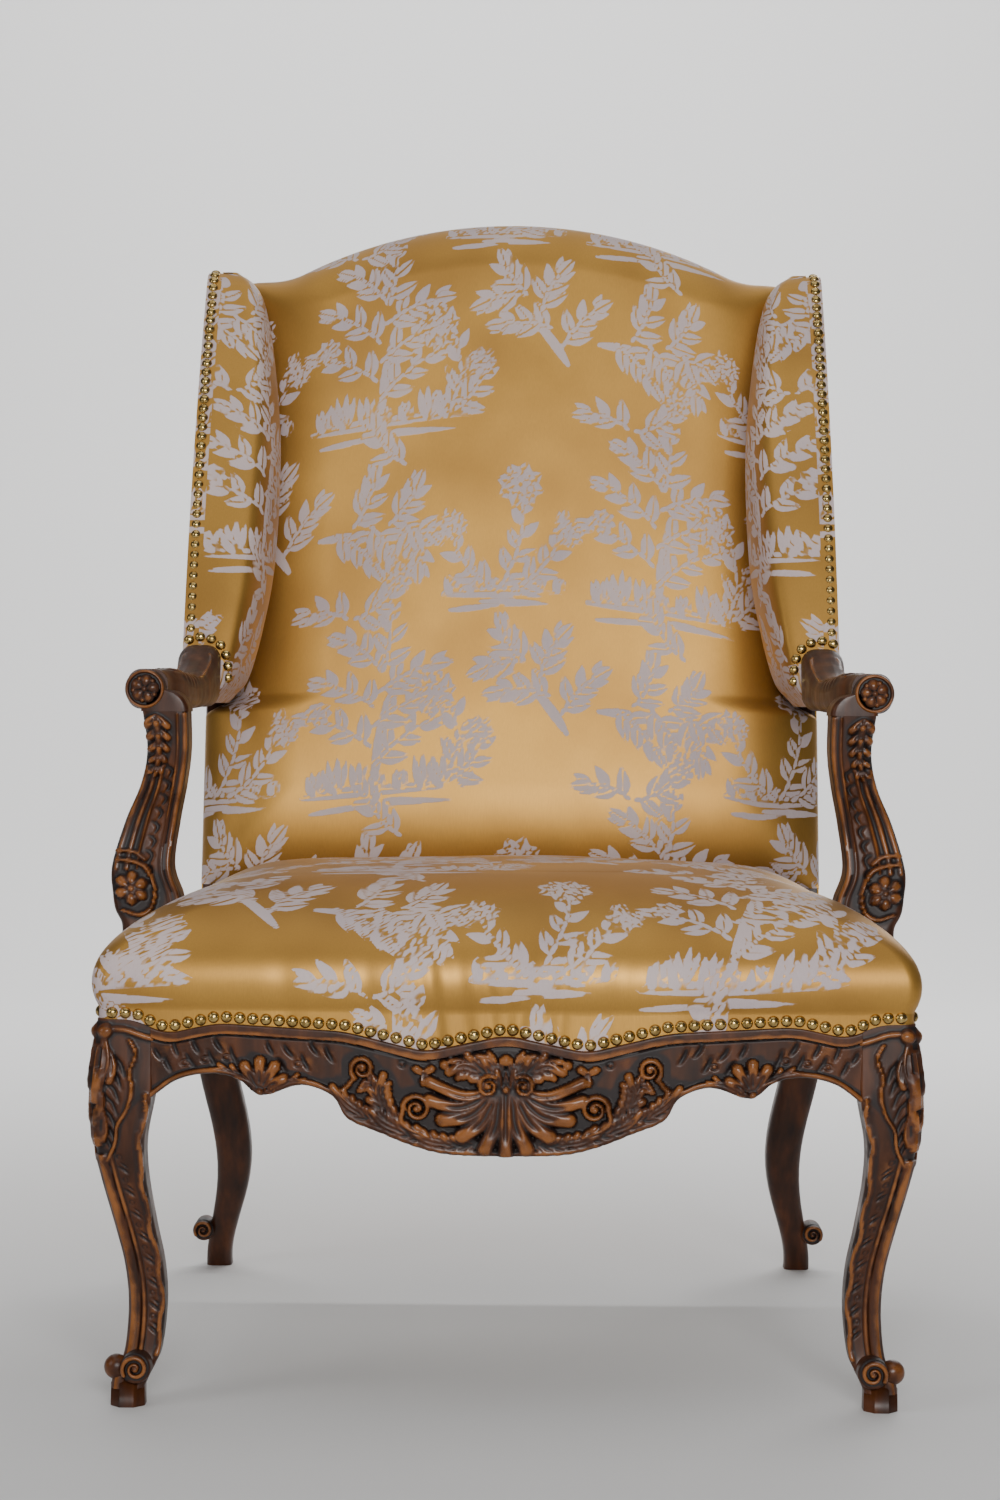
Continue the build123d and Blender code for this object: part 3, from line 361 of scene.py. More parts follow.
# Place, size and turn of each blossom
BLOSSOMS = (
    ((150.0, 134.0), 25.0, 0.3), ((196.0, 92.0), 18.0, 0.8), ((240.0, 360.0), 26.0, 0.5),
    ((168.0, 316.0), 18.0, 0.2), ((292.0, 310.0), 19.0, 0.9), ((28.0, 122.0), 15.0, 0.6),
    ((112.0, 262.0), 14.0, 0.4),
)
# Where the middles of seat, back, outside back and wings lie on the design
SEAT_DESIGN_U = 190.0
SEAT_DESIGN_V = 150.0
BACK_DESIGN_U = 232.0
BACK_DESIGN_V = 300.0
OUTSIDE_DESIGN_U = 70.0
WING_DESIGN_U = 150.0
WING_DESIGN_V = 120.0

# Colours and finishes
GOLD = (0.58, 0.315, 0.068)
GOLD_DEEP = (0.44, 0.230, 0.050)
GOLD_SHADE = (0.22, 0.11, 0.03)
LILAC = (0.59, 0.470, 0.450)
LILAC_DEEP = (0.46, 0.370, 0.385)
SILVER = (0.80, 0.715, 0.68)
WALNUT_DARK = (0.010, 0.0032, 0.0012)
WALNUT = (0.050, 0.0140, 0.0037)
WALNUT_RED = (0.115, 0.0335, 0.0080)
WALNUT_PATCH = (0.072, 0.0215, 0.0058)
# Dark grey-blue of carved hollows: painted shade, with dust
WALNUT_HOLLOW_SHADE_AND_DUST = (0.010, 0.0075, 0.008)
# Pale wood of raised carved edges: wear from rubbing and a painted highlight
WALNUT_RUBBED_HIGHLIGHT = (0.30, 0.108, 0.028)
BEECH_DARK = (0.20, 0.115, 0.055)
BEECH = (0.36, 0.23, 0.12)
TARNISH = (0.30, 0.19, 0.06)
BRASS = (0.62, 0.45, 0.17)
JUTE = (0.42, 0.31, 0.17)
HESSIAN = (0.36, 0.25, 0.13)
SHEEN = (0.9, 0.82, 0.78)
FLOOR = (0.78, 0.775, 0.77)
ROOM_LIGHT = (0.80, 0.80, 0.81)
ROOM_STRENGTH = 0.11
WOOD_GLOSS = 0.38
# Depth of grain and fibres in metres
FINE_RELIEF = 0.0006
# Scale of the weave, for threads of about 2.5 mm
WEAVE_SCALE = 125.0

# Material of each kind of CAD node that shows as it is
SHOWN_NODES = {
    "rear_rail": "walnut", "side_rail": "walnut", "rear_leg": "walnut", "wing_lower_rail": "walnut",
    "corner_blocks": "frame_wood", "crest_rail": "frame_wood", "lower_back_rail": "frame_wood",
    "arm_dowel": "frame_wood", "wing_front_stile": "frame_wood", "wing_top_rail": "frame_wood",
    "seat_front_nails": "brass", "seat_side_nails": "brass", "wing_nails": "brass",
}

# Camera, in metres
CAMERA_DISTANCE = 2.847
CAMERA_HEIGHT = 0.619
CAMERA_TURN = radians(0.25)
CAMERA_ROLL = radians(-0.4)
CAMERA_LENS = 68.95
CAMERA_SHIFT = (-0.0070, -0.0333)

# The floor sweeps up into a plain backdrop, in metres
SWEEP_START = 3.2
SWEEP_RADIUS = 2.0
SWEEP_WIDTH = 9.0

# Lights: place, target and size in metres, and power in watts
LIGHTS = {
    "key": ((0.3, -3.4, 1.35), (0.0, 0.0, 0.62), (1.6, 0.7), 74.0),
    "side": ((-2.6, -1.8, 1.6), (0.0, 0.0, 0.6), (1.2, 1.6), 14.0),
    "top": ((0.0, -0.5, 3.4), (0.0, -0.2, 0.0), (3.0, 3.0), 27.0),
    "rear": ((1.4, 2.9, 2.2), (0.0, 0.0, 0.7), (2.0, 1.5), 22.0),
    "wall": ((0.0, 1.8, 3.6), (0.0, SWEEP_START + SWEEP_RADIUS, 1.2), (5.0, 1.0), 260.0),
}

# Edges that turn further than this look sharp
SHARP_ANGLE = radians(65.0)
# A distance beyond everything, and one that keeps a length from being nought
FAR = 1e9
TINY = 1e-9
# How far an edge stands out where its wood gets its full wear and painted highlight
RUB_HIGHLIGHT_SCALE = 1.25


# Shared helpers

def smooth(low, high, value):
    """Zero below low, one above high and a soft step between them."""
    share = np.clip((value - low) / (high - low), 0.0, 1.0)
    return share * share * (3 - 2 * share)


def side_x(y):
    """The outer face of the seat frame's right side at a depth."""
    share = (y - FRONT_Y) / (REAR_Y - FRONT_Y)
    return FRONT_HALF + share * (REAR_HALF - FRONT_HALF)


def back_y(z):
    """The front faces of the raked back stiles at a height above the floor."""
    return REAR_Y + (z - FRAME_TOP) * np.tan(BACK_RAKE)


def raked(x, y, z):
    """Points of the upright back, turned back by its rake and set on the seat frame."""
    return np.stack([x, REAR_Y + y * cos(BACK_RAKE) + z * sin(BACK_RAKE),
                     FRAME_TOP - y * sin(BACK_RAKE) + z * cos(BACK_RAKE)], -1)


def grid_faces(rows, columns, closed=False, first=0):
    """Quads of a grid of points in row order. A closed grid joins its last column to its first."""
    around = columns if closed else columns - 1
    row, column = np.meshgrid(np.arange(rows - 1), np.arange(around), indexing="ij")
    after = (column + 1) % columns
    quads = np.stack([row * columns + column, row * columns + after,
                      (row + 1) * columns + after, (row + 1) * columns + column], -1)
    return (quads.reshape(-1, 4) + first).tolist()


def ring_cap(start, columns, turned=False):
    """One face that closes a ring of points."""
    ring = list(range(start, start + columns))
    return ring[::-1] if turned else ring


def add_object(name, data):
    """A new object in the scene."""
    made = bpy.data.objects.new(name, data)
    bpy.context.scene.collection.objects.link(made)
    return made


def make_piece(name, points, faces, material, replaces=(), values=None):
    """A mesh piece from points in millimetres, with its named values stored on the points."""
    mesh = bpy.data.meshes.new(name)
    mesh.from_pydata((np.asarray(points) / 1000).tolist(), [], faces)
    mesh.update()
    for key, numbers in (values or {}).items():
        layer = mesh.attributes.new(key, "FLOAT", "POINT")
        layer.data.foreach_set("value", np.asarray(numbers, dtype=np.float32).ravel())
    mesh.polygons.foreach_set("use_smooth", np.ones(len(mesh.polygons), dtype=bool))
    mesh.set_sharp_from_angle(angle=SHARP_ANGLE)
    piece = add_object(name, mesh)
    piece.data.materials.append(material)
    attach(piece, "root")
    if replaces:
        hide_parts(*replaces)
    return piece


def both_sides(name, points, faces, material, replaces, values=None):
    """A right-hand piece and its mirror image on the left."""
    points = np.asarray(points)
    right = make_piece(name + "_right", points, faces, material,
                       [node + "_right" for node in replaces], values)
    turned = [face[::-1] for face in faces]
    left = make_piece(name + "_left", points * (-1, 1, 1), turned, material,
                      [node + "_left" for node in replaces], values)
    return right, left


# Fabric design: leafy boughs, flowering stems and banks of grass, repeated with a half drop.
# A part of it is a base, direction, length, width and sideways bend.

def spray(start, turn, length, curl, leaves, leaf_length):
    """A curved stem with leaves on alternate sides and one at its tip."""
    parts = []
    x, y = start
    step = length / leaves
    for index in range(leaves):
        share = index / leaves
        heading = turn + curl * share
        size = leaf_length * (1.0 - 0.4 * share)
        parts.append(((x, y), heading, step * 1.3, STEM_WIDTH * (1.0 - 0.4 * share), 0.0))
        x += step * cos(heading)
        y += step * sin(heading)
        side = 1 if index % 2 else -1
        spread = heading + side * (1.0 - 0.3 * share)
        parts.append(((x, y), spread, size, 0.47 * size, -0.16 * side * leaf_length))
    parts.append(((x, y), turn + curl, 0.8 * leaf_length, 0.4 * leaf_length, 0.0))
    return parts


def bough(start, turn, length, curl, twigs, leaf_length):
    """A thick stem with leafy twigs on alternate sides."""
    parts = [(start, turn + 0.4 * curl, length, 2.2 * STEM_WIDTH, 0.3 * curl * length)]
    x, y = start
    step = length / twigs
    for index in range(twigs):
        heading = turn + curl * index / twigs
        x += step * cos(heading)
        y += step * sin(heading)
        side = 1 if index % 2 else -1
        reach = length * (0.62 - 0.2 * index / twigs)
        parts += spray((x, y), heading + 0.8 * side, reach, 0.5 * side, 6, leaf_length)
    return parts + spray((x, y), turn + curl, 0.45 * length, -curl, 5, leaf_length)


def blossom(centre, radius, turn):
    """A full blossom: three rings of round petals, each over the one before."""
    parts = []
    for size, petals in ((1.0, 8), (0.68, 6), (0.38, 5)):
        for index in range(petals):
            angle = turn * size + 2 * pi * index / petals
            base = (centre[0] + 0.1 * radius * cos(angle), centre[1] + 0.1 * radius * sin(angle))
            parts.append((base, angle, 0.95 * size * radius, 0.76 * size * radius, 0.0))
    return parts


def bank(start, length, tufts, height):
    """A low bank of ground with tufts of long grass."""
    x, y = start
    parts = [((x, y - 4.0), 0.03, length, 13.0, -4.0),
             ((x + 0.3 * length, y - 14.0), -0.05, 0.6 * length, 9.0, 3.0),
             ((x + 0.05 * length, y - 22.0), 0.04, 0.45 * length, 7.0, 2.0)]
    for index in range(tufts):
        share = index / (tufts - 1)
        foot = (x + length * (0.08 + 0.84 * share), y - 3.0)
        tall = height * (0.45 + 0.55 * sin(5.1 * share + 0.7) ** 2)
        for lean in (-0.75, -0.3, 0.2, 0.65):
            lean += 0.3 * sin(2.3 * index)
            parts.append((foot, pi / 2 + lean, tall * (1 - 0.25 * abs(lean)), 9.0, -0.4 * lean * tall))
    return parts


def design_parts():
    """Every leaf, petal and stem of one repeat, from the lowest layer to the top."""
    parts = []
    for start, length, tufts, height in BANKS:
        parts += bank(start, length, tufts, height)
    for start, turn, length, curl, twigs in BOUGHS:
        parts += bough(start, turn, length, curl, twigs, LEAF_LENGTH)
    for start, turn, length, curl, leaves in SPRAYS:
        parts += spray(start, turn, length, curl, leaves, 0.95 * LEAF_LENGTH)
    for centre, radius, turn in BLOSSOMS:
        parts += blossom(centre, radius, turn)
    return parts


def leaf_distance(along, across, length, width, bend):
    """Signed distance to a leaf along the first axis and distance to its midrib."""
    share = np.clip(along / length, 0.0, 1.0)
    across = across - bend * share ** 2
    half = width / 2 * np.sin(pi * (0.06 + 0.94 * share) ** 0.75)
    outside = np.maximum(-along, along - length)
    edge = np.where(outside > 0, np.hypot(outside, across), np.abs(across) - half)
    return edge, np.abs(across)


def design_tile():
    """One repeat as a grid: signed distance to the design, and to the lines drawn inside it."""
    places_u = np.arange(0.0, REPEAT_WIDTH + DESIGN_CELL, DESIGN_CELL)
    u, v = np.meshgrid(places_u, np.arange(0.0, REPEAT_HEIGHT, DESIGN_CELL), indexing="ij")
    motif = np.full(u.shape, DESIGN_REACH)
    line = np.full(u.shape, DESIGN_REACH)
    parts = design_parts()
    for step in (-1, 0, 1):
        for (base_u, base_v), heading, length, width, bend in parts:
            du = u - base_u - step * REPEAT_WIDTH
            dv = (v - base_v + step * HALF_DROP + HALF_DROP) % REPEAT_HEIGHT - HALF_DROP
            near = np.hypot(du, dv) < length + abs(bend) + DESIGN_REACH
            if not near.any():
                continue
            du, dv = du[near], dv[near]
            edge, middle = leaf_distance(du * cos(heading) + dv * sin(heading),
                                         dv * cos(heading) - du * sin(heading), length, width, bend)
            vein = middle if width > VEINED_WIDTH else DESIGN_REACH
            inner = np.minimum(vein, LINE_INSIDE - edge)
            line[near] = np.where(edge < 0, inner, np.minimum(line[near], edge))
            motif[near] = np.minimum(motif[near], edge)
    return motif, line


DESIGN = design_tile()


def fabric_values(u, v):
    """Signed distance to the woven design and distance to its lines, for cloth coordinates."""
    u, v = np.ravel(u), np.ravel(v)
    column = np.floor(u / REPEAT_WIDTH)
    place_u = (u - column * REPEAT_WIDTH) / DESIGN_CELL
    place_v = ((v + column * HALF_DROP) % REPEAT_HEIGHT) / DESIGN_CELL
    low_u, low_v = place_u.astype(int), place_v.astype(int)
    part_u, part_v = place_u - low_u, place_v - low_v
    values = {}
    for key, tile in (("motif", DESIGN[0]), ("rib", DESIGN[1])):
        next_v = (low_v + 1) % tile.shape[1]
        low_v = low_v % tile.shape[1]
        near = tile[low_u, low_v] * (1 - part_v) + tile[low_u, next_v] * part_v
        far = tile[low_u + 1, low_v] * (1 - part_v) + tile[low_u + 1, next_v] * part_v
        values[key] = near * (1 - part_u) + far * part_u
    return values


# Seat

def bow_y(x):
    """The bowed front of the seat frame."""
    return FRONT_Y - BOW * (1 - (x / FRONT_HALF) ** 2)


def nail_line(x):
    """Height of the wavy line along the front rail that the cover is nailed to."""
    away = np.abs(x)
    places = [place for place, _ in NAIL_LINE]
    heights = [height for _, height in NAIL_LINE]
    offsets = np.linspace(-NAIL_LINE_ROUNDING, NAIL_LINE_ROUNDING, 13) / 2
    return np.mean([np.interp(np.abs(away + offset), places, heights) for offset in offsets], axis=0)


def crown(shoulder, swell, step):
    """Inset, rise share and cloth length along a crowned edge, at equal steps of cloth."""
    angle = np.linspace(radians(-swell), radians(CROWN_END), 400)
    inset = shoulder * (cos(angle[0]) - np.cos(angle))
    rise = (np.sin(angle) - sin(angle[0])) / (1 - sin(angle[0]))
    length = np.concatenate([[0], np.cumsum(np.hypot(np.diff(inset), np.diff(rise * SEAT_RISE)))])
    places = np.linspace(0, length[-1], int(length[-1] / step) + 1)
    return np.interp(places, length, inset), np.interp(places, length, rise), places


def rounded_ring(half_x, half_y, radius, counts):
    """Points round a rectangle with rounded corners, from the front middle to the right."""
    across, along, turn = counts
    middles = ((half_x - radius, -half_y + radius, -pi / 2), (half_x - radius, half_y - radius, 0.0),
               (-half_x + radius, half_y - radius, pi / 2), (-half_x + radius, -half_y + radius, pi))
    arcs = []
    for x, y, start in middles:
        angle = start + (pi / 2) * np.arange(turn) / (turn - 1)
        arcs.append(np.stack([x + radius * np.cos(angle), y + radius * np.sin(angle)], -1))
    rows = []
    for index, arc in enumerate(arcs):
        target = arcs[(index + 1) % 4][0]
        count = along if index % 2 == 0 else across
        share = (np.arange(1, count) / count)[:, None]
        rows += [arc, arc[-1] + share * (target - arc[-1])]
    return np.concatenate(rows)


def seat_rings():
    """The seat's rings from the nailed edge up to the middle, with cloth coordinates."""
    half_x = (FRONT_HALF + REAR_HALF) / 2
    half_y = (REAR_Y - FRONT_Y) / 2
    counts = (int(2 * half_x / SEAT_STEP), int(2 * half_y / SEAT_STEP), 26)
    insets, rises, lengths = crown(SEAT_SHOULDER, SEAT_SWELL, SEAT_STEP)
    rings, cloth, shares = [], [], []
    for inset, rise, length in zip(insets, rises, lengths):
        radius = SEAT_CORNER + CORNER_GROWTH * max(inset, 0.0)
        rings.append(rounded_ring(half_x - inset, half_y - inset, radius, counts))
        rest = (lengths[-1] - length) - (insets[-1] - inset)
        outer = rounded_ring(half_x - inset + rest, half_y - inset + rest, radius, counts)
        cloth.append(outer)
        shares.append(rise)
    inner = rings[-1]
    steps = int((half_y - insets[-1]) / SEAT_STEP)
    for index in range(1, steps):
        size = 1 - index / steps
        rings.append(inner * size)
        cloth.append(inner * size)
        shares.append(1 + TOP_DOME / SEAT_RISE * (1 - size ** 2))
    return rings, cloth, shares


def seat_point(ring, rise):
    """A ring of the seat, tapered to the rear and bowed in front."""
    middle_y = (FRONT_Y + REAR_Y) / 2
    y = ring[:, 1] + middle_y
    x = ring[:, 0] * side_x(y) / ((FRONT_HALF + REAR_HALF) / 2)
    front = smooth(0.0, 1.0, (middle_y - y) / (middle_y - FRONT_Y))
    y = y - BOW * (1 - np.clip(x / FRONT_HALF, -1, 1) ** 2) * front
    return np.stack([x, y, np.full(len(x), PAD_BASE + SEAT_RISE * rise)], -1)


def crease_seat(points):
    """Pull small creases into the front of the seat, from the nails up to the edge of its top."""
    x, y, z = points.T
    low, high = CREASE_HEIGHTS
    front = smooth(FRONT_Y + CREASE_REACH, FRONT_Y, y) * smooth(PAD_BASE + high, PAD_BASE + low, z)
    for place, width, depth in SEAT_CREASES:
        lean = CREASE_LEAN * (z - PAD_BASE) * np.sign(place)
        points[:, 1] += depth * front * np.exp(-((x - place - lean) / width) ** 2)
    waves = np.sin(x / HOLLOW_LENGTHS[0] + 1.1) * np.sin(y / HOLLOW_LENGTHS[1] + 0.4)
    low, high = HOLLOW_HEIGHTS
    points[:, 2] += HOLLOW * waves * smooth(PAD_BASE + low, PAD_BASE + high, z)
    return points


def tuck_supports(points):
    """Tuck the seat's sides in round the arm supports."""
    x, y, z = points.T
    front = SUPPORT_Y - SUPPORT_ROOM - CARVING_ROOM * smooth(*CARVING_START, z)
    rear = SUPPORT_Y + SUPPORT_ROOM + through(SUPPORT_STATIONS, z, 3)
    between = smooth(front - CUT_EDGE, front, y) * smooth(rear + CUT_EDGE, rear, y)
    outside = np.maximum(np.abs(x) - SUPPORT_ROOM_X, 0.0)
    points[:, 0] = np.sign(x) * (np.abs(x) - outside * between)
    return points


def seat_piece(fabric):
    """The stuffed and covered seat, from the nails up, closed underneath."""
    rings, cloth, shares = seat_rings()
    columns = len(rings[0])
    base = seat_point(rings[0], 0.0)
    in_front = base[:, 1] < FRONT_Y + SEAT_CORNER
    edge_z = np.where(in_front, nail_line(base[:, 0]), NAIL_LINE[-1][1])
    rows, cloth_rows = [], []
    wall_steps = 8
    floor = base.copy()
    inward = 1 - REBATE / FRONT_HALF
    floor[:, :2] *= inward
    rows.append(np.column_stack([floor[:, :2], np.full(columns, PAD_BASE)]))
    rows.append(np.column_stack([floor[:, :2], edge_z]))
    cloth_rows += [cloth[0], cloth[0]]
    for index in range(wall_steps):
        share = index / wall_steps
        rows.append(np.column_stack([base[:, :2], edge_z + (PAD_BASE - edge_z) * share]))
        cloth_rows.append(cloth[0] * (1 + (1 - share) * (PAD_BASE - edge_z) / SEAT_CLOTH_HALF)[:, None])
    for ring, flat, share in zip(rings, cloth, shares):
        rows.append(seat_point(ring, share))
        cloth_rows.append(flat)
    points = tuck_supports(crease_seat(np.concatenate(rows)))
    flat = np.concatenate(cloth_rows)
    faces = grid_faces(len(rows), columns, closed=True)
    faces.append(ring_cap(0, columns, turned=True))
    faces.append(ring_cap((len(rows) - 1) * columns, columns))
    values = fabric_values(flat[:, 0] + SEAT_DESIGN_U, flat[:, 1] + SEAT_DESIGN_V)
    piece = make_piece("seat_upholstery", points, faces, fabric,
                       ["seat_cover", "seat_stuffing"], values)
    return piece


# Back

def hump(x):
    """Height of the back's top line along its rake: flat shoulders, coves and one long arc."""
    away = np.abs(x)
    span = HUMP_RADIUS + COVE_RADIUS
    cove_x = sqrt(span ** 2 - (span - HUMP_RISE) ** 2)
    join_x = cove_x * HUMP_RADIUS / span
    arc_middle = SHOULDER_HEIGHT + HUMP_RISE - HUMP_RADIUS
    arc = arc_middle + np.sqrt(HUMP_RADIUS ** 2 - np.minimum(away, join_x) ** 2)
    reach = np.clip(cove_x - away, 0.0, COVE_RADIUS)
    cove = SHOULDER_HEIGHT + COVE_RADIUS - np.sqrt(COVE_RADIUS ** 2 - reach ** 2)
    return np.where(away < join_x, arc, cove)


def round_edge(distance, shoulder):
    """Share of a pad's depth at a distance from its edge, which rises like a quarter ellipse."""
    return np.sqrt(1 - (1 - np.clip(distance / shoulder, 0.0, 1.0)) ** 2)


def blended_depth(shares, sharpness):
    """One depth share from those of several edges, with soft corners between them."""
    missing = sum((1 - share) ** sharpness for share in shares)
    return np.clip(1 - missing ** (1 / sharpness), 0.0, 1.0)


def dense_ends(count, strength):
    """Shares from nought to one that lie closer together at both ends."""
    even = np.linspace(0, 1, count)
    return (1 - strength) * even + strength * (1 - np.cos(pi * even)) / 2


def cloth_values(grid, middle_u, middle_v):
    """The woven design on a grid of points, by lengths along its rows and columns from its middle."""
    rows, columns = grid.shape[:2]
    across = np.linalg.norm(np.diff(grid, axis=1), axis=-1)
    along = np.linalg.norm(np.diff(grid, axis=0), axis=-1)
    u = np.concatenate([np.zeros((rows, 1)), np.cumsum(across, axis=1)], axis=1)
    v = np.concatenate([np.zeros((1, columns)), np.cumsum(along, axis=0)], axis=0)
    return fabric_values(u - u[:, columns // 2][:, None] + middle_u, v - v[rows // 2][None, :] + middle_v)


def rim_of(rows, columns):
    """Places of a grid's outer points, in order round it."""
    places = np.arange(rows * columns).reshape(rows, columns)
    sides = (places[0], places[1:, -1], places[-1, -2::-1], places[-2:0:-1, 0])
    return np.concatenate(sides).tolist()


def two_layers(front, rear):
    """Points and faces of a thin sheet between two grids with the same rows and columns."""
    rows, columns = front.shape[:2]
    count = rows * columns
    faces = grid_faces(rows, columns)
    faces += [face[::-1] for face in grid_faces(rows, columns, first=count)]
    rim = rim_of(rows, columns)
    for here, after in zip(rim, rim[1:] + rim[:1]):
        faces.append([after, here, here + count, after + count])
    return np.concatenate([front.reshape(-1, 3), rear.reshape(-1, 3)]), faces


def closed_behind(front, rear):
    """Points and faces of a pad: a grid in front and one flat face behind it."""
    rows, columns = front.shape[:2]
    count = rows * columns
    rim = rim_of(rows, columns)
    faces = grid_faces(rows, columns)
    behind = list(range(count, count + len(rim)))
    for here, after, rear_here, rear_after in zip(rim, rim[1:] + rim[:1], behind, behind[1:] + behind[:1]):
        faces.append([after, here, rear_here, rear_after])
    faces.append(behind[::-1])
    return np.concatenate([front.reshape(-1, 3), rear.reshape(-1, 3)[rim]]), faces, rim


def with_rim(values, rim):
    """Values of a front grid, given to the pad's rear rim too."""
    return {key: np.concatenate([numbers, numbers[rim]]) for key, numbers in values.items()}


def repeated(values):
    """Values of a front grid, given to both layers of a piece."""
    return {key: np.tile(numbers, 2) for key, numbers in values.items()}


def back_half_width(v):
    """Half the width of the stuffed back: full below the wings and narrower between them."""
    step = (WING_BOTTOM - FRAME_TOP) / cos(BACK_RAKE)
    narrow = WING_INNER_X - BACK_SIDE_GAP
    return narrow + (REAR_HALF + COVER - narrow) * smooth(step + 4.0, step - 16.0, v)


def back_piece(fabric):
    """The stuffed front of the back, closed behind."""
    rows = int((SHOULDER_HEIGHT + HUMP_RISE - BACK_BOTTOM) / BACK_STEP)
    columns = int(2 * REAR_HALF / BACK_STEP) | 1
    share, side = np.meshgrid(dense_ends(rows, 0.25), 2 * dense_ends(columns, 0.25) - 1, indexing="ij")
    v = BACK_BOTTOM + share * (hump(side * WING_INNER_X) + COVER - BACK_BOTTOM)
    half = back_half_width(v)
    x = side * half
    edges = (round_edge(half - np.abs(x), BACK_SHOULDER), round_edge(hump(x) + COVER - v, BACK_TOP_SHOULDER),
             round_edge(v - BACK_BOTTOM, BACK_SHOULDER))
    depth = BACK_DEPTH * blended_depth(edges, BACK_EDGE_SHARPNESS)
    waves = np.sin(x / RIPPLE_LENGTHS[0] + 0.8) * np.sin(v / RIPPLE_LENGTHS[1])
    ripple = RIPPLE * waves * smooth(0.0, BACK_DEPTH, depth)
    front = raked(x, -WEBBING_DEPTH - depth - ripple, v)
    rear = raked(x, np.full(x.shape, -BACK_REAR_GAP), v)
    values = cloth_values(front, BACK_DESIGN_U, BACK_DESIGN_V)
    points, faces, rim = closed_behind(front, rear)
    piece = make_piece("back_upholstery", points, faces, fabric,
                       ["back_cover", "back_stuffing", "back_webbing"], with_rim(values, rim))
    return piece


def thick(grid, thickness):
    """The other layer of a sheet, a thickness behind each point."""
    across = np.gradient(grid, axis=1)
    along = np.gradient(grid, axis=0)
    normal = np.cross(across, along)
    normal /= np.maximum(np.linalg.norm(normal, axis=-1, keepdims=True), TINY)
    return grid - thickness * normal


def cloth_sheet(name, grid, fabric, nodes, values):
    """A stretched sheet of cloth with its real thickness."""
    points, faces = two_layers(grid, thick(grid, SHEET_THICKNESS))
    piece = make_piece(name, points, faces, fabric, nodes, repeated(values))
    return piece


def outside_back(fabric):
    """The outside cover, behind the frame, round the stiles' sides and over the top."""
    half = REAR_HALF + COVER
    turns, columns, rows, folds = 6, 151, 190, 8
    turn = np.linspace(0, 1, turns + 1)[:-1]
    side = np.concatenate([-np.ones(turns), np.linspace(-1, 1, columns), np.ones(turns)])
    depth_share = np.concatenate([turn, np.ones(columns), turn[::-1]])
    up = np.concatenate([np.linspace(0, 1, rows), np.ones(folds)])
    fold = np.concatenate([np.zeros(rows), np.linspace(0, 1, folds + 1)[1:]])
    row_up, column_side = np.meshgrid(up, side, indexing="ij")
    row_fold, column_depth = np.meshgrid(fold, depth_share, indexing="ij")
    x = column_side * half
    top = hump(x) + COVER
    v = OUTSIDE_BOTTOM + row_up * (top - OUTSIDE_BOTTOM)
    puff = PUFF * round_edge(half - np.abs(x), PUFF_SHOULDER) * round_edge(top - v, PUFF_SHOULDER)
    puff *= 1 - row_fold
    y = (STILE_DEPTH + COVER + puff) * np.minimum(column_depth, 1 - row_fold)
    grid = raked(x, y, v)[:, ::-1]
    values = cloth_values(grid, OUTSIDE_DESIGN_U, BACK_DESIGN_V)
    return cloth_sheet("outside_back", grid, fabric, ["outer_back_cover"],
                       values)


# Wings

WING_HEIGHT = WING_TOP - WING_BOTTOM
WING_FOOT_Y = back_y(WING_BOTTOM) - WING_FOOT_DEPTH
WING_HEAD_Y = back_y(WING_TOP) - WING_TOP_DEPTH
WING_BEND = 4 * (back_y(WING_BOTTOM + WING_HEIGHT / 2) - WING_MIDDLE_DEPTH - (WING_FOOT_Y + WING_HEAD_Y) / 2)
# How far the front edge leans back at its top, where an arc turns it into the top
WING_SLOPE = (WING_HEAD_Y - WING_FOOT_Y - WING_BEND) / WING_HEIGHT
WING_LEAN = sqrt(1 + WING_SLOPE ** 2)
WING_TURN_Z = WING_TOP - WING_TOP_RADIUS


def wing_line(z):
    """The wing's hollow front edge at a height."""
    share = (z - WING_BOTTOM) / WING_HEIGHT
    return WING_FOOT_Y + share * (WING_HEAD_Y - WING_FOOT_Y) + WING_BEND * share * (1 - share)


def wing_edge(z, out):
    """The wing's front edge at a height, a distance outside its frame, with the rounded corner at its top."""
    radius = WING_TOP_RADIUS + out
    middle_y = wing_line(WING_TURN_Z) + WING_TOP_RADIUS * WING_LEAN
    turned = middle_y - np.sqrt(np.maximum(radius ** 2 - (z - WING_TURN_Z) ** 2, 0.0))
    return np.where(z < WING_TURN_Z + radius * WING_SLOPE / WING_LEAN, wing_line(z) - out * WING_LEAN, turned)


def roll_surface(z, turn):
    """Points of the right wing's roll at heights and turns, from its front edge round to its rear."""
    bulge = through(WING_ROLL, z, 1)
    front = wing_edge(np.minimum(z, WING_TOP), COVER + FRONT_ROOM)
    rear = back_y(z) - WING_REAR_GAP
    middle, half = (front + rear) / 2, (rear - front) / 2
    lean = np.sin(np.minimum(turn / ROLL_FRONT, 1.0) * pi) ** 2
    forward = ROLL_FORWARD * lean * smooth(0.0, LEANING_BULGE, bulge)
    lip = (REAR_HALF - NAIL_STRIP + LIP_OVERLAP - WING_INNER_X) * smooth(LIP_TURN, 0.0, turn)
    x = ROLL_BACK_X - bulge * np.sin(turn) ** ROLL_FULLNESS + lip
    return np.stack([x, middle - half * np.cos(turn) - forward, z], -1)


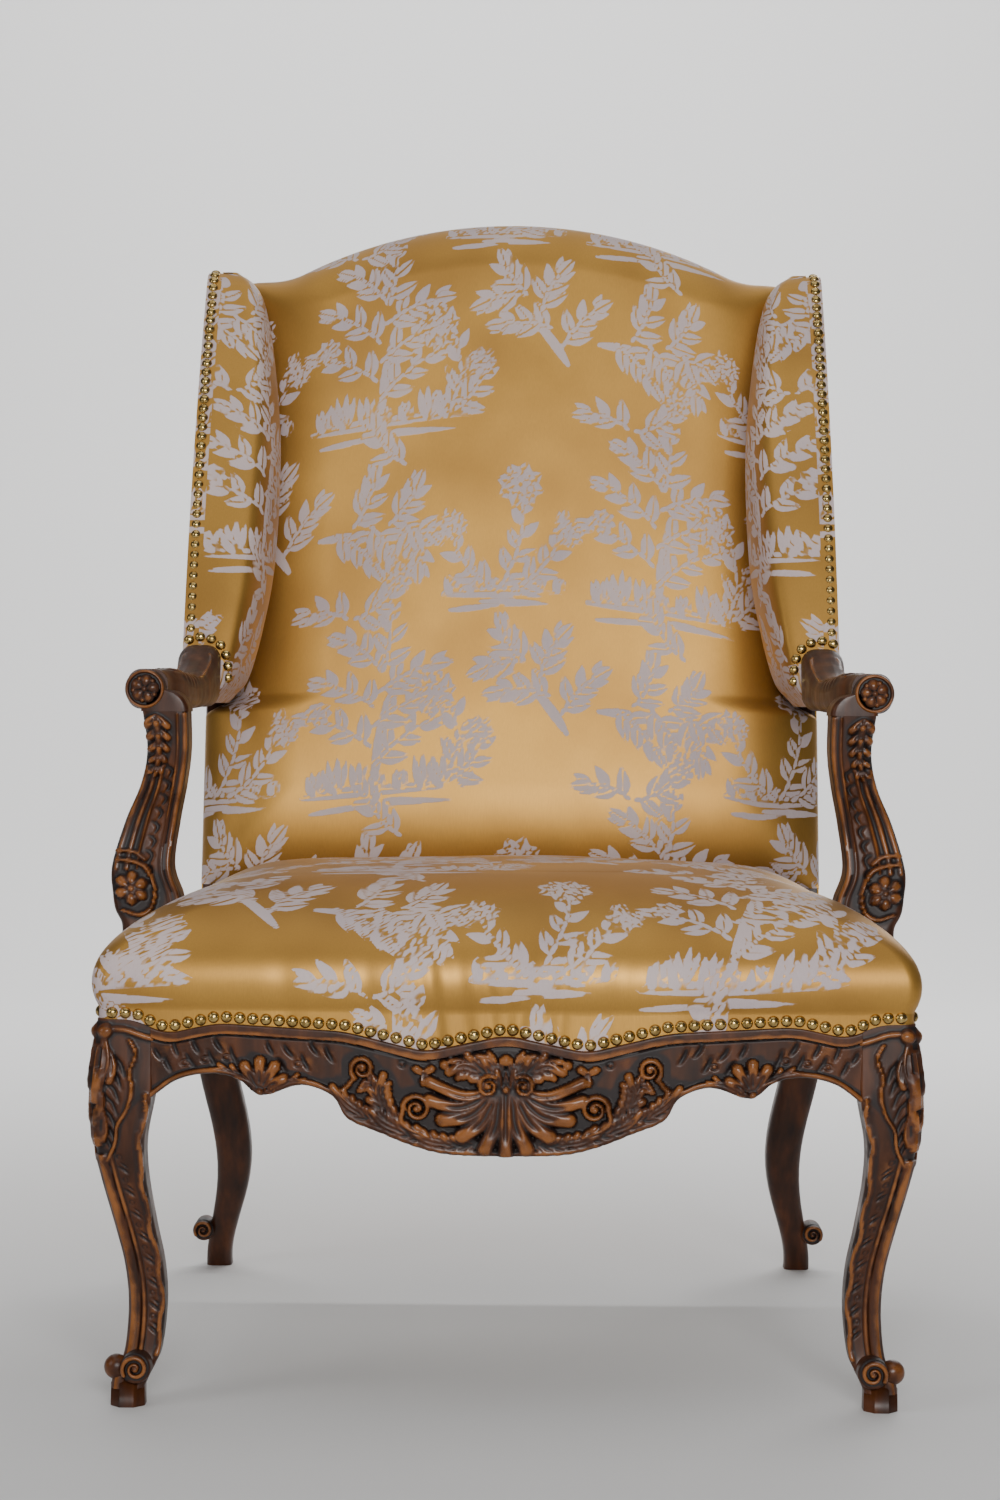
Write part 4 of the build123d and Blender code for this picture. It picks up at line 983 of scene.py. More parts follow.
def wing_rolls(fabric):
    """The stuffed rolls on the inner faces of both wings."""
    rows = int(WING_HEIGHT / WING_STEP)
    heights = WING_ROLL[0][0] + dense_ends(rows, 0.6) * (WING_ROLL[-1][0] - WING_ROLL[0][0])
    z, turn = np.meshgrid(heights, np.linspace(0, pi, 81), indexing="ij")
    grid = roll_surface(z, turn)
    flat_back = np.maximum(grid, (ROLL_BACK_X, -FAR, 0.0))
    values = cloth_values(grid, WING_DESIGN_U, WING_DESIGN_V)
    points, faces, rim = closed_behind(grid, flat_back)
    pieces = both_sides("wing_upholstery", points, faces, fabric,
                        ["wing_cover", "wing_stuffing"], with_rim(values, rim))


def wing_outsides(fabric):
    """The outside covers of both wings, turned round their front edges and over their tops."""
    corner_start = np.arcsin(WING_SLOPE / WING_LEAN)
    corner_rows, straight_rows, folds, strip_columns, panel_columns = 24, 150, 8, 10, 70
    corner_turn = np.linspace(corner_start, pi / 2, corner_rows)
    corner_z = WING_TURN_Z + (WING_TOP_RADIUS + COVER) * np.sin(corner_turn)
    straight_z = np.linspace(WING_BOTTOM, corner_z[0], straight_rows)[:-1]
    outer = REAR_HALF + COVER
    inner = WING_INNER_X + SHEET_GAP
    up = np.concatenate([straight_z, corner_z, np.full(folds, WING_TOP + COVER)])
    fold = np.concatenate([np.zeros(len(up) - folds), np.linspace(0, 1, folds)])
    strip = np.linspace(inner, outer, strip_columns)
    panel = np.linspace(0, 1, panel_columns)[1:]
    start = wing_edge(up, COVER)
    end = back_y(up) - SHEET_GAP
    grid = np.zeros((len(up), len(strip) + len(panel), 3))
    grid[:, :len(strip), 0] = strip
    grid[:, len(strip):, 0] = outer
    grid[:, :len(strip), 1] = start[:, None]
    grid[:, len(strip):, 1] = start[:, None] + panel * (end - start)[:, None]
    grid[..., 0] = np.minimum(grid[..., 0], (outer - fold * (outer - inner))[:, None])
    grid[..., 2] = up[:, None]
    values = cloth_values(grid, WING_DESIGN_U, WING_DESIGN_V)
    points, faces = two_layers(grid, thick(grid, SHEET_THICKNESS))
    pieces = both_sides("wing_outside", points, faces, fabric, ["wing_outer_cover"],
                        repeated(values))


# Carving: heights above a plain face, built up from rolls, leaves, spirals, balls and cuts.
# A shape is given by points across and up the face, then its width and its height or depth.

def smooth_path(points, steps=8):
    """A smooth curve through a few points."""
    points = np.asarray(points, dtype=float)
    ends = np.concatenate([[2 * points[0] - points[1]], points, [2 * points[-1] - points[-2]]])
    share = (np.arange(steps) / steps)[:, None]
    curve = []
    for first, start, end, last in zip(ends, ends[1:], ends[2:], ends[3:]):
        bend = 2 * first - 5 * start + 4 * end - last
        twist = 3 * start - first - 3 * end + last
        curve.append(0.5 * (2 * start + (end - first) * share + bend * share ** 2 + twist * share ** 3))
    return np.concatenate(curve + [points[-1:]])


def spiral_path(centre, radius, turns, start, hand):
    """A spiral from its outer end inwards to its eye."""
    share = np.linspace(0, 1, int(26 * turns))
    angle = start + hand * 2 * pi * turns * share
    reach = radius * (1 - 0.78 * share)
    return np.stack([centre[0] + reach * np.cos(angle), centre[1] + reach * np.sin(angle)], -1)


class Carving:
    """The carved height of points on a face, by their places across and up."""

    def __init__(self, across, up):
        self.across = across
        self.up = up
        self.height = np.zeros(across.shape)

    def along(self, path, reach):
        """The points near a path, their shares along it and their signed distances from it."""
        low, high = path.min(axis=0) - reach, path.max(axis=0) + reach
        near = ((self.across > low[0]) & (self.across < high[0]) & (self.up > low[1]) & (self.up < high[1]))
        across, up = self.across[near], self.up[near]
        best = np.full(across.shape, FAR)
        share, signed = np.zeros(across.shape), np.zeros(across.shape)
        for index, ((ax, az), (bx, bz)) in enumerate(zip(path, path[1:])):
            dx, dz = bx - ax, bz - az
            part = np.clip(((across - ax) * dx + (up - az) * dz) / max(dx * dx + dz * dz, TINY), 0, 1)
            off_x, off_z = across - ax - part * dx, up - az - part * dz
            distance = np.hypot(off_x, off_z)
            closer = distance < best
            best = np.where(closer, distance, best)
            signed = np.where(closer, distance * np.sign(dx * off_z - dz * off_x), signed)
            share = np.where(closer, (index + part) / (len(path) - 1), share)
        return near, share, signed

    def lift(self, near, height):
        """Raise points to a height where they are lower."""
        self.height[near] = np.maximum(self.height[near], height)

    def roll(self, path, width, height, taper=0.0):
        """A rounded moulding along a path, which may get slimmer towards its end."""
        near, share, signed = self.along(path, width)
        half = width / 2 * (1 - taper * share)
        inside = 1 - (signed / half) ** 2
        top = height * (1 - 0.5 * taper * share) * np.sqrt(np.clip(inside, 0, 1))
        self.lift(near, np.where(inside > 0, top, -FAR))

    def finger(self, points, width, height):
        """One lobe of a leaf: slim at its root, full near its rounded tip, with a flute along it."""
        near, share, signed = self.along(smooth_path(points, 6), width)
        half = width / 2 * (0.5 + 0.5 * np.sin(pi * np.clip(0.08 + 0.62 * share, 0, 0.5)))
        inside = 1 - (signed / half) ** 2
        top = height * (0.5 + 0.5 * np.sin(pi * (0.1 + 0.6 * share))) * np.clip(inside, 0, 1) ** 0.5
        flute = 0.38 * height * np.exp(-(signed / (0.17 * width)) ** 2) * smooth(0.9, 0.6, share)
        self.lift(near, np.where(inside > 0, top - flute, -FAR))

    def leaf(self, points, width, height, lobes=4):
        """A curling acanthus leaf: long fingers that part from a spine on both sides, and one at its tip."""
        spine = smooth_path(points)
        step = len(spine) / (lobes + 1)
        for index in range(1, lobes + 1):
            here = int(index * step)
            ahead = spine[min(here + 1, len(spine) - 1)] - spine[here - 1]
            ahead = ahead / max(np.hypot(*ahead), TINY)
            aside = np.array([-ahead[1], ahead[0]])
            size = 0.6 + 0.5 * sin(pi * (0.2 + 0.6 * index / lobes))
            root = spine[max(here - int(1.9 * step), 0)]
            middle = spine[max(here - int(0.6 * step), 0)]
            for hand in (-1, 1):
                bend = middle + hand * aside * 0.2 * width * size
                tip = spine[here] + hand * aside * 0.46 * width * size + ahead * 0.16 * width
                self.finger([root, bend, tip], 0.42 * width * size, height * 0.86)
        root, middle = spine[int(0.2 * len(spine))], spine[int(0.65 * len(spine))]
        self.finger([root, middle, spine[-1]], 0.5 * width, height)

    def volute(self, centre, radius, turns, start, hand, width, height):
        """A spiral moulding with a ball in its eye."""
        self.roll(spiral_path(centre, radius, turns, start, hand), width, height, taper=0.35)
        self.ball(centre, 0.3 * radius, height * 1.1)

    def ball(self, centre, radius, height):
        """A round boss."""
        distance = np.hypot(self.across - centre[0], self.up - centre[1])
        near = distance < radius
        self.lift(near, height * np.sqrt(1 - (distance[near] / radius) ** 2))

    def groove(self, points, width, depth):
        """A cut with sloping sides along a path, tapered at both ends."""
        near, share, signed = self.along(np.asarray(points, dtype=float), width)
        cut = depth * np.clip(1 - (2 * signed / width) ** 2, 0, 1) * np.sin(pi * (0.12 + 0.76 * share))
        self.height[near] -= cut

    def ring(self, centre, radius, depth):
        """A punched ring."""
        distance = np.hypot(self.across - centre[0], self.up - centre[1])
        self.height -= depth * np.exp(-((distance - radius) / 0.9) ** 2)

    def flower(self, centre, radius, petals, height, turn=0.0):
        """Cupped petals round a boss."""
        across, up = self.across - centre[0], self.up - centre[1]
        distance = np.hypot(across, up)
        angle = np.arctan2(up, across) - turn
        petal = np.abs(np.cos(petals * angle / 2))
        share = distance / (radius * (0.78 + 0.22 * petal))
        near = share < 1
        cup = 0.35 + 0.65 * np.sin(pi * np.clip(share, 0, 1)) ** 0.8
        cup *= 0.55 + 0.45 * petal ** 0.6
        self.lift(near, (height * cup)[near])
        self.ball(centre, 0.28 * radius, height * 1.15)


def blurred(grid, size, closed):
    """A grid's values averaged over a square of cells. A closed grid goes on round its columns."""
    total = np.pad(grid, ((size, size), (0, 0)), mode="edge")
    total = np.pad(total, ((0, 0), (size, size)), mode="wrap" if closed else "edge")
    width = 2 * size + 1
    for axis in (0, 1):
        sums = np.cumsum(np.insert(total, 0, 0.0, axis=axis), axis=axis)
        total = (np.take(sums, range(width, sums.shape[axis]), axis=axis)
                 - np.take(sums, range(sums.shape[axis] - width), axis=axis)) / width
    return total


def wear_and_shading_relief(height, size=6, closed=False):
    """How far each point stands out of its neighbourhood, which sets edges with wear and a painted highlight,
    and hollows with painted shade and dust.
    """
    return np.clip((height - blurred(height, size, closed)) / RUB_HIGHLIGHT_SCALE, -1, 1)


# Front rail

def lower_line(x):
    """Height of the front rail's lower edge."""
    curve = smooth_path([(-LOWER_LINE[1][0], LOWER_LINE[1][1])] + list(LOWER_LINE), 16)
    return np.interp(np.abs(x), curve[:, 0], curve[:, 1])


def carve_edges(carving):
    """The bead along the rail's lower edge, and the flat lip below the nails."""
    place = np.linspace(-8.0, LEG_INNER_X, 180)
    carving.roll(np.stack([place, lower_line(place) + 2.6], -1), 5.4, 4.2)
    below = nail_line(carving.across) - carving.up
    carving.lift(below < LIP, 1.9)
    carving.height -= 1.3 * np.exp(-((below - LIP - 0.9) / 0.9) ** 2)


def carve_cartouche(carving):
    """The acanthus cartouche in the middle of the rail."""
    for place, bend, width in CARTOUCHE_LOBES:
        carving.finger([(6, 284), bend, place], width, 7.4)
    carving.leaf([(6, 282), (18, 296), (34, 303), (49, 298)], 19.0, 6.8, 4)
    carving.leaf([(2, 284), (5, 298), (12, 308), (25, 312)], 12.0, 5.6, 3)
    carving.volute((15, 286), 9.5, 1.5, 2.2, -1, 4.8, 8.0)
    carving.finger([(0, 280), (0, 252), (0, 225)], 14.0, 8.4)
    for place, radius in (((0, 308), 5.2), ((0, 283), 4.0), ((53, 304), 4.6), ((67, 288), 3.6)):
        carving.ball(place, radius, 6.4)


def carve_scrolls(carving):
    """The scrolls, fronds and garland between the cartouche and the shells."""
    carving.leaf([(24, 236), (44, 234), (62, 237), (80, 244)], 15.0, 5.0, 5)
    carving.leaf([(66, 240), (86, 244), (104, 252), (116, 264)], 17.0, 5.6, 5)
    carving.leaf([(96, 252), (106, 266), (110, 280), (106, 294)], 17.0, 5.6, 5)
    carving.leaf([(104, 252), (122, 258), (136, 268), (150, 284)], 15.0, 5.2, 5)
    carving.volute((77, 266), 12.0, 1.6, 0.2, 1, 5.4, 6.6)
    carving.roll(smooth_path([(88, 268), (90, 256), (82, 248), (66, 242)]), 5.6, 6.0, 0.4)
    carving.volute((124, 300), 10.5, 1.6, -0.9, 1, 5.2, 6.0)
    carving.roll(smooth_path([(131, 292), (139, 283), (150, 281), (168, 288), (190, 290)]), 4.6, 4.6, 0.4)
    carving.leaf([(128, 280), (120, 286), (116, 292), (118, 300)], 8.0, 4.6, 2)
    for turn in (0.55, 2.6, 4.7):
        centre = (71 + 4.4 * cos(turn), 296 + 4.4 * sin(turn))
        carving.finger([(71, 296), centre, (71 + 8 * cos(turn), 296 + 8 * sin(turn))], 7.0, 4.2)


def carve_shell(carving):
    """The shell over each scallop of the lower edge, with leaves to both sides."""
    carving.leaf([(205, 280), (194, 283), (184, 288), (174, 289)], 12.0, 4.6, 3)
    carving.leaf([(222, 282), (232, 292), (244, 297), (256, 297)], 11.0, 4.6, 3)
    for index in range(5):
        angle = radians(14 + 38 * index)
        tip = (213 + 21 * cos(angle), 285 + 20 * sin(angle))
        middle = (213 + 11 * cos(angle), 283 + 11 * sin(angle))
        carving.finger([(213, 278), middle, tip], 11.0, 6.4)
    carving.volute((203, 282), 5.0, 1.3, 0.0, -1, 3.0, 5.6)
    carving.volute((223, 284), 5.0, 1.3, pi, 1, 3.0, 5.6)
    carving.ball((213, 279), 4.4, 7.0)


def carve_ground(carving):
    """Slanting gouge cuts and punched rings on the rail's quiet stretches."""
    for x, z, length, slant in RAIL_GOUGES:
        middle = (x + 0.62 * length * cos(slant), z + 0.5 * length * sin(slant))
        tip = (x + length * cos(slant), z + length * sin(slant))
        carving.groove(smooth_path([(x, z), middle, tip]), 5.0, 2.4)
    for centre in ((261, 306), (279, 303), (180, 303), (242, 308), (90, 304)):
        carving.ring(centre, 2.6, 1.3)


def rail_piece(wood):
    """The carved front rail."""
    columns = int(2 * LEG_INNER_X / CARVING_STEP) | 1
    rows = 78
    x = np.linspace(-LEG_INNER_X, LEG_INNER_X, columns)
    share, across = np.meshgrid(np.linspace(0, 1, rows), x, indexing="ij")
    low, high = lower_line(across), nail_line(across)
    tall = high - low
    z = low + share * tall
    carving = Carving(np.abs(across), z)
    carving.height -= GROUND_DEPTH * smooth(0.0, 0.14, share) * smooth(1.0, 0.9, share)
    carve_ground(carving)
    carve_shell(carving)
    carve_scrolls(carving)
    carve_cartouche(carving)
    carve_edges(carving)
    relief = wear_and_shading_relief(carving.height)
    edge = 3.0 * (1 - round_edge(share * tall, 5.0)) + 1.2 * (1 - round_edge((1 - share) * tall, 2.0))
    front = np.stack([across, bow_y(across) - carving.height + edge, z], -1)
    rear_y = np.full(columns, RAIL_REAR_Y)
    inner_y = bow_y(x) + REBATE
    loop = list(front)
    loop.append(np.stack([x, inner_y, high[-1]], -1))
    loop.append(np.stack([x, inner_y, np.full(columns, FRAME_TOP)], -1))
    loop.append(np.stack([x, rear_y, np.full(columns, FRAME_TOP)], -1))
    loop.append(np.stack([x, rear_y, low[0] + 2.0], -1))
    loop.append(np.stack([x, rear_y - 4.0, low[0]], -1))
    grid = np.stack(loop, axis=1)
    count = grid.shape[1]
    faces = grid_faces(columns, count, closed=True)
    faces += [ring_cap(0, count), ring_cap((columns - 1) * count, count, turned=True)]
    values = np.concatenate([relief, np.zeros((count - rows, columns))]).T
    turned = [face[::-1] for face in faces]
    make_piece("carved_front_rail", grid.reshape(-1, 3), turned, wood,
               ["front_rail"], {"relief": values})


# Tubes with carved faces: legs and arm supports

def ring_template(side_count, turn_count):
    """Places round a section and their outward directions, from the front face's outer end onwards."""
    places, normals = [], []
    corners = np.array(((1.0, -1.0), (1.0, 1.0), (-1.0, 1.0), (-1.0, -1.0)))
    for index, place in enumerate(corners):
        start = -pi / 2 + index * pi / 2
        for angle in np.linspace(start, start + pi / 2, turn_count):
            places.append(place)
            normals.append((cos(angle), sin(angle)))
        after = corners[(index + 1) % 4]
        for share in np.arange(1, side_count) / side_count:
            places.append(place + share * (after - place))
            normals.append((cos(start + pi / 2), sin(start + pi / 2)))
    return np.array(places), np.array(normals)


def section(template, half_x, half_y, radius):
    """Points of rounded sections, one per row, about their own middles."""
    places, normals = template
    return (places[:, 0] * (half_x - radius) + normals[:, 0] * radius,
            places[:, 1] * (half_y - radius) + normals[:, 1] * radius)


def through(stations, z, column):
    """A size at every height, along a smooth curve through its stations."""
    curve = smooth_path([(station[0], station[column]) for station in stations], 12)
    return np.interp(z, curve[:, 0], curve[:, 1])


def tube_piece(grid, relief):
    """Points, faces and stored values of a tube whose rows are closed rings."""
    rows, columns = grid.shape[:2]
    faces = grid_faces(rows, columns, closed=True)
    faces += [ring_cap(0, columns, turned=True), ring_cap((rows - 1) * columns, columns)]
    return grid.reshape(-1, 3), faces, relief.ravel()


def plain_part(z, half_x, half_y, middle, radius, turns):
    """An uncarved tube with rounded corners, through sections at a column of heights."""
    x, y = section(ring_template(4, turns), half_x, half_y, radius)
    grid = np.stack(np.broadcast_arrays(x + middle[0], y + middle[1], z), -1)
    return tube_piece(grid, np.zeros(grid.shape[:2]))


def joined(parts):
    """Several closed parts as the points, faces and values of one piece."""
    points, faces, values, first = [], [], [], 0
    for part_points, part_faces, part_values in parts:
        points.append(part_points)
        faces += [[first + corner_index for corner_index in face] for face in part_faces]
        values.append(part_values)
        first += len(part_points)
    return np.concatenate(points), faces, {"relief": np.concatenate(values)}


def carved_pair(name, parts, wood, nodes):
    """A carved piece of several parts on the right, and its mirror image on the left."""
    points, faces, values = joined(parts)
    both_sides(name, points, faces, wood, nodes, values)


def ball_part(centre, radius):
    """A closed ball."""
    turn, rise = np.meshgrid(np.linspace(0, 2 * pi, 24, endpoint=False), np.linspace(-1.5, 1.5, 15))
    out = radius * np.cos(rise)
    grid = np.stack([out * np.cos(turn), out * np.sin(turn), radius * np.sin(rise)], -1) + centre
    return tube_piece(grid, np.full(turn.shape, BALL_WEAR_AND_HIGHLIGHT))


def roundel_part(centre, radius, length, carve):
    """A round block along the depth axis, carved on its front."""
    rows, columns = 44, 120
    turn = np.linspace(0, 2 * pi, columns, endpoint=False)
    reach = np.linspace(0.02, 1, rows)[:, None] * radius
    across, up = reach * np.cos(turn), reach * np.sin(turn)
    carving = Carving(across, up)
    carve(carving, radius)
    rounding = ROUNDEL_EDGE * (1 - round_edge(radius - np.hypot(across, up), ROUNDEL_EDGE))
    face = np.stack([centre[0] + across, centre[1] - carving.height + rounding, centre[2] + up], -1)
    back = face[-1] + (0.0, length, 0.0)
    grid = np.concatenate([face, back[None]])[:, ::-1]
    relief = np.concatenate([wear_and_shading_relief(carving.height, 11, True), np.zeros((1, columns))])[:, ::-1]
    return tube_piece(grid, relief)


def leg_width(z):
    """Width of the front leg at a height."""
    return through(LEG_STATIONS, z, 1)


def carve_leg(carving):
    """One face of a front leg, across from its outer corner."""
    up = np.linspace(44.0, LOWER_LINE[-1][1] + 3.0, 60)
    inner = np.stack([leg_width(up) - 3.2 + 1.3 * np.sin(up / 6.5), up], -1)
    carving.roll(inner, 4.0, 2.6)
    corner_reed = (carving.across < 9.5) & (carving.up < REED_TOP)
    swell = np.clip(1 - ((carving.across[corner_reed] - 4.0) / 5.6) ** 2, 0, 1)
    carving.lift(corner_reed, 2.6 * np.sqrt(swell))
    carving.roll(np.stack([np.full(60, 12.2), np.minimum(up, REED_TOP)], -1), 4.6, 2.2)
    for place in LEG_CUTS:
        carving.groove([(17.0, place + 6), (24.0, place)], 3.4, 2.0)
        carving.groove([(18.5, place + 10), (25.0, place + 4)], 3.0, 1.6)
        carving.ring((19.5, place + 14.5), 2.0, 1.0)


def carve_knee(carving):
    """The knee: a wavy border round gouge cuts, long leaves down the corner and a round knob."""
    for index in range(7):
        place = 300.0 - 11.0 * index
        reach = 31.0 - 2.2 * index
        carving.groove([(reach - 14, place + 9), (reach - 6, place + 1), (reach - 2, place - 9)], 4.6, 2.2)
    carving.roll(smooth_path(KNEE_BORDER), 3.4, 3.2)
    for line, width, height in KNEE_LEAVES:
        carving.finger(line, width, height)
    carving.ball((9, 330), 7.0, 5.0)
    carving.roll(smooth_path([(15, 332), (26, 331), (38, 327), (51, 323)]), 5.0, 2.6)


def leg_part():
    """The right front leg from its scroll up to the nails."""
    template = ring_template(26, 9)
    places, normals = template
    share = np.linspace(0, 1, LEG_ROWS)[:, None] * np.ones((1, len(places)))
    front = (normals[:, 1] < -0.5)[None, :]
    low, high = LEG_STATIONS[0][0], NAIL_LINE[-1][1]
    z = low + share * (high - low)
    half = leg_width(z) / 2
    rail_end = (1 - places[:, 0]) * (1 - places[:, 1]) / 4 * smooth(*RAIL_JOINT, z)
    x, y = section(template, half, half, LEG_ROUNDING * half * (1 - 0.8 * rail_end))
    inset = through(LEG_STATIONS, z, 2)
    x_middle = FRONT_HALF - inset - half
    y_middle = FRONT_Y + inset + half
    top = np.where(front, nail_line(x + x_middle), high)
    z = low + share * (top - low)
    weights = np.clip(-normals[:, 1], 0, 1), np.clip(normals[:, 0], 0, 1)
    height, reeds = np.zeros(z.shape), np.zeros(z.shape)
    for across, weight in ((half - x, weights[0]), (y + half, weights[1])):
        carving = Carving(across, z)
        carve_leg(carving)
        carve_knee(carving)
        full = weight > FULL_FACE
        height = np.where(full, carving.height, height + weight * carving.height * ~full)
        near_corner = weight * smooth(15.0, 10.0, across)
        reeds = np.maximum(reeds, near_corner * smooth(REED_TOP + 4.0, REED_TOP - 16.0, z))
    # The carving runs out towards the nails
    height *= smooth(high - 1.0, high - 10.0, z) * 0.7 + 0.3
    grid = np.stack([x + x_middle + normals[:, 0] * height, y + y_middle + normals[:, 1] * height, z], -1)
    return tube_piece(grid, wear_and_shading_relief(height, 4, True) + REED_WEAR_AND_HIGHLIGHT * reeds)


def leg_top():
    """The part of a front leg behind the nailed cover."""
    half = LEG_BLOCK / 2 - REBATE / 2
    z = np.array([[FRAME_TOP - LEG_TOP_LENGTH], [FRAME_TOP]])
    middle = (FRONT_HALF - REBATE - half, FRONT_Y + REBATE + half)
    return plain_part(z, half, half, middle, radius=3.0, turns=3)


def carve_scroll(carving, radius):
    """The end of a foot's scroll."""
    carving.volute((0, 0), radius * 0.86, 1.5, -0.5, 1, 5.0, 4.0)


def foot_parts():
    """The faceted block, scroll and ball of the right front foot."""
    x = FRONT_HALF - FOOT_INSET - FOOT_WIDTH / 2
    y = FRONT_Y + FOOT_INSET + FOOT_WIDTH / 2
    turn = np.repeat(radians(22.5) + 2 * pi * np.arange(8) / 8, 2)
    rings = []
    for z, size in ((0.0, 0.94), (0.0, 1.0), (FOOT_HEIGHT, 0.98), (FOOT_HEIGHT + 2.0, 0.9)):
        reach = size * FOOT_REACH
        ring = np.stack([x + reach * np.cos(turn), y + reach * np.sin(turn), np.full(len(turn), z)], -1)
        rings.append(ring)
    block = tube_piece(np.stack(rings), np.full((len(rings), len(turn)), FOOT_WEAR_AND_HIGHLIGHT))
    scroll_place = (x - 8.0, FRONT_Y + 7.0, SCROLL_HEIGHT)
    scroll = roundel_part(scroll_place, SCROLL_RADIUS, SCROLL_LENGTH, carve_scroll)
    ball = ball_part((x + 10.0, y - 6.0, SCROLL_HEIGHT - 1.0), 11.0)
    return [block, scroll, ball]


def front_legs(wood):
    """Both carved front legs."""
    carved_pair("carved_front_leg", [leg_part(), leg_top()] + foot_parts(), wood, ["front_leg"])


# Arms and their supports

SUPPORT_SIDE = side_x(SUPPORT_Y)


def support_width(z):
    """Width of an arm support at a height."""
    return through(SUPPORT_STATIONS, z, 2)


def carve_support(carving):
    """The front of an arm support, across from its outer edge."""
    up = np.linspace(*SUPPORT_REED_LINE, 60)
    lower = np.linspace(*SUPPORT_BEAD_LINE, 70)
    for inset, width, height in SUPPORT_BEADS:
        carving.roll(np.stack([support_width(lower) - inset, lower], -1), width, height)
    for share, width, height in SUPPORT_REEDS:
        reed = np.stack([share * support_width(up), np.minimum(up, SUPPORT_REED_TOP)], -1)
        carving.roll(reed, width, height)
    for index in range(9):
        place = 444.0 + 13.0 * index
        middle = 0.6 * float(support_width(np.array(place)))
        cut = [(middle - 3, place + 9), (middle + 3, place + 4), (middle + 2, place - 3)]
        carving.groove(smooth_path(cut), 4.6, 2.6)
    carving.flower((19.0, 444.0), 15.5, 6, 6.0, 0.4)
    carving.roll(smooth_path(FLOWER_FRAME), 4.0, 4.4)
    carving.roll(smooth_path([(2, 478), (18, 477), (30, 470)]), 3.6, 3.2)
    for index in range(5):
        place = 600.0 - 11.5 * index
        size = 1.0 - 0.11 * index
        for angle in (-2.5, -1.57, -0.64):
            tip = (HUSKS + 11 * size * cos(angle), place + 11 * size * sin(angle))
            carving.finger([(HUSKS, place + 2), (HUSKS + 5 * cos(angle), place - 2), tip], 8.5 * size, 5.0)
        carving.ball((HUSKS, place - 5.0), 3.6 * size, 6.4)


def support_part():
    """The right arm support from under the seat's cover up to the arm."""
    template = ring_template(24, 8)
    places, normals = template
    low, high = SUPPORT_STATIONS[0][0], SUPPORT_STATIONS[-1][0]
    z = np.linspace(low, high, 170)[:, None] * np.ones((1, len(places)))
    half = support_width(z) / 2
    deep = np.full(z.shape, SUPPORT_DEPTH / 2)
    x, y = section(template, half, deep, 8.0)
    carving = Carving(half - x, z)
    carve_support(carving)
    weight = np.clip(-normals[:, 1], 0, 1)
    height = carving.height * np.where(weight > FULL_FACE, 1.0, weight)
    x_middle = SUPPORT_SIDE - through(SUPPORT_STATIONS, z, 1)
    y_middle = SUPPORT_Y + through(SUPPORT_STATIONS, z, 3)
    grid = np.stack([x + x_middle + normals[:, 0] * height, y + y_middle + normals[:, 1] * height, z], -1)
    return tube_piece(grid, wear_and_shading_relief(height, 4, True))


def support_foot():
    """The plain base of an arm support on the side rail."""
    start, inset, width, _ = SUPPORT_STATIONS[0]
    z = np.array([[FRAME_TOP], [start + PART_OVERLAP]])
    middle = (SUPPORT_SIDE - inset - SUPPORT_FOOT_SHIFT, SUPPORT_Y)
    half_x = width / 2 - SUPPORT_FOOT_INSET
    return plain_part(z, half_x, SUPPORT_DEPTH / 2, middle, radius=6.0, turns=3)


def carve_roundel(carving, radius):
    """The flower on the front of an arm."""
    rim = np.linspace(0, 2 * pi, 60)
    carving.roll(np.stack([0.88 * radius * np.cos(rim), 0.88 * radius * np.sin(rim)], -1), 3.6, 2.4)
    carving.flower((0.0, 0.0), 0.72 * radius, 5, 4.6, 0.5)
    for index in range(5):
        angle = 0.5 + 2 * pi * (index + 0.5) / 5
        carving.ball((0.55 * radius * cos(angle), 0.55 * radius * sin(angle)), 0.15 * radius, 4.0)


def carve_arm(carving):
    """The leaf along the top of an arm, and beads on its edges."""
    carving.leaf([(0, -150), (0, -120), (0, -95), (0, -60)], 26.0, 3.6, 5)
    for side in (-13.0, 13.0):
        carving.roll(smooth_path([(side, -160), (side, -100), (side, -30), (side, 10)]), 3.4, 2.2)


def arm_part():
    """The right arm between its roundel and the wing."""
    template = ring_template(18, 8)
    _, normals = template
    start = ARM_FRONT_Y - ARM_STATIONS[0][0]
    places = np.linspace(ARM_STATIONS[0][0] + ROUNDEL_OVERLAP, ARM_STATIONS[-1][0], 150)
    depth = places[:, None] * np.ones((1, len(normals)))
    half_x, half_z = through(ARM_STATIONS, depth, 3) / 2, through(ARM_STATIONS, depth, 4) / 2
    x, up = section(template, half_x, half_z, ARM_ROUNDING * np.minimum(half_x, half_z))
    carving = Carving(x, depth)
    carve_arm(carving)
    height = carving.height * np.clip(normals[:, 1], 0, 1)
    z = up + through(ARM_STATIONS, depth, 2) + normals[:, 1] * height
    behind = wing_edge(np.maximum(z, WING_BOTTOM), COVER + FRONT_ROOM)
    y = np.minimum(depth + start, np.where(z > WING_BOTTOM, behind, behind + ARM_UNDERLAP))
    grid = np.stack([x + through(ARM_STATIONS, depth, 1) + normals[:, 0] * height, y, z], -1)
    points, faces, values = tube_piece(grid, wear_and_shading_relief(height, 4, True))
    return points, [face[::-1] for face in faces], values


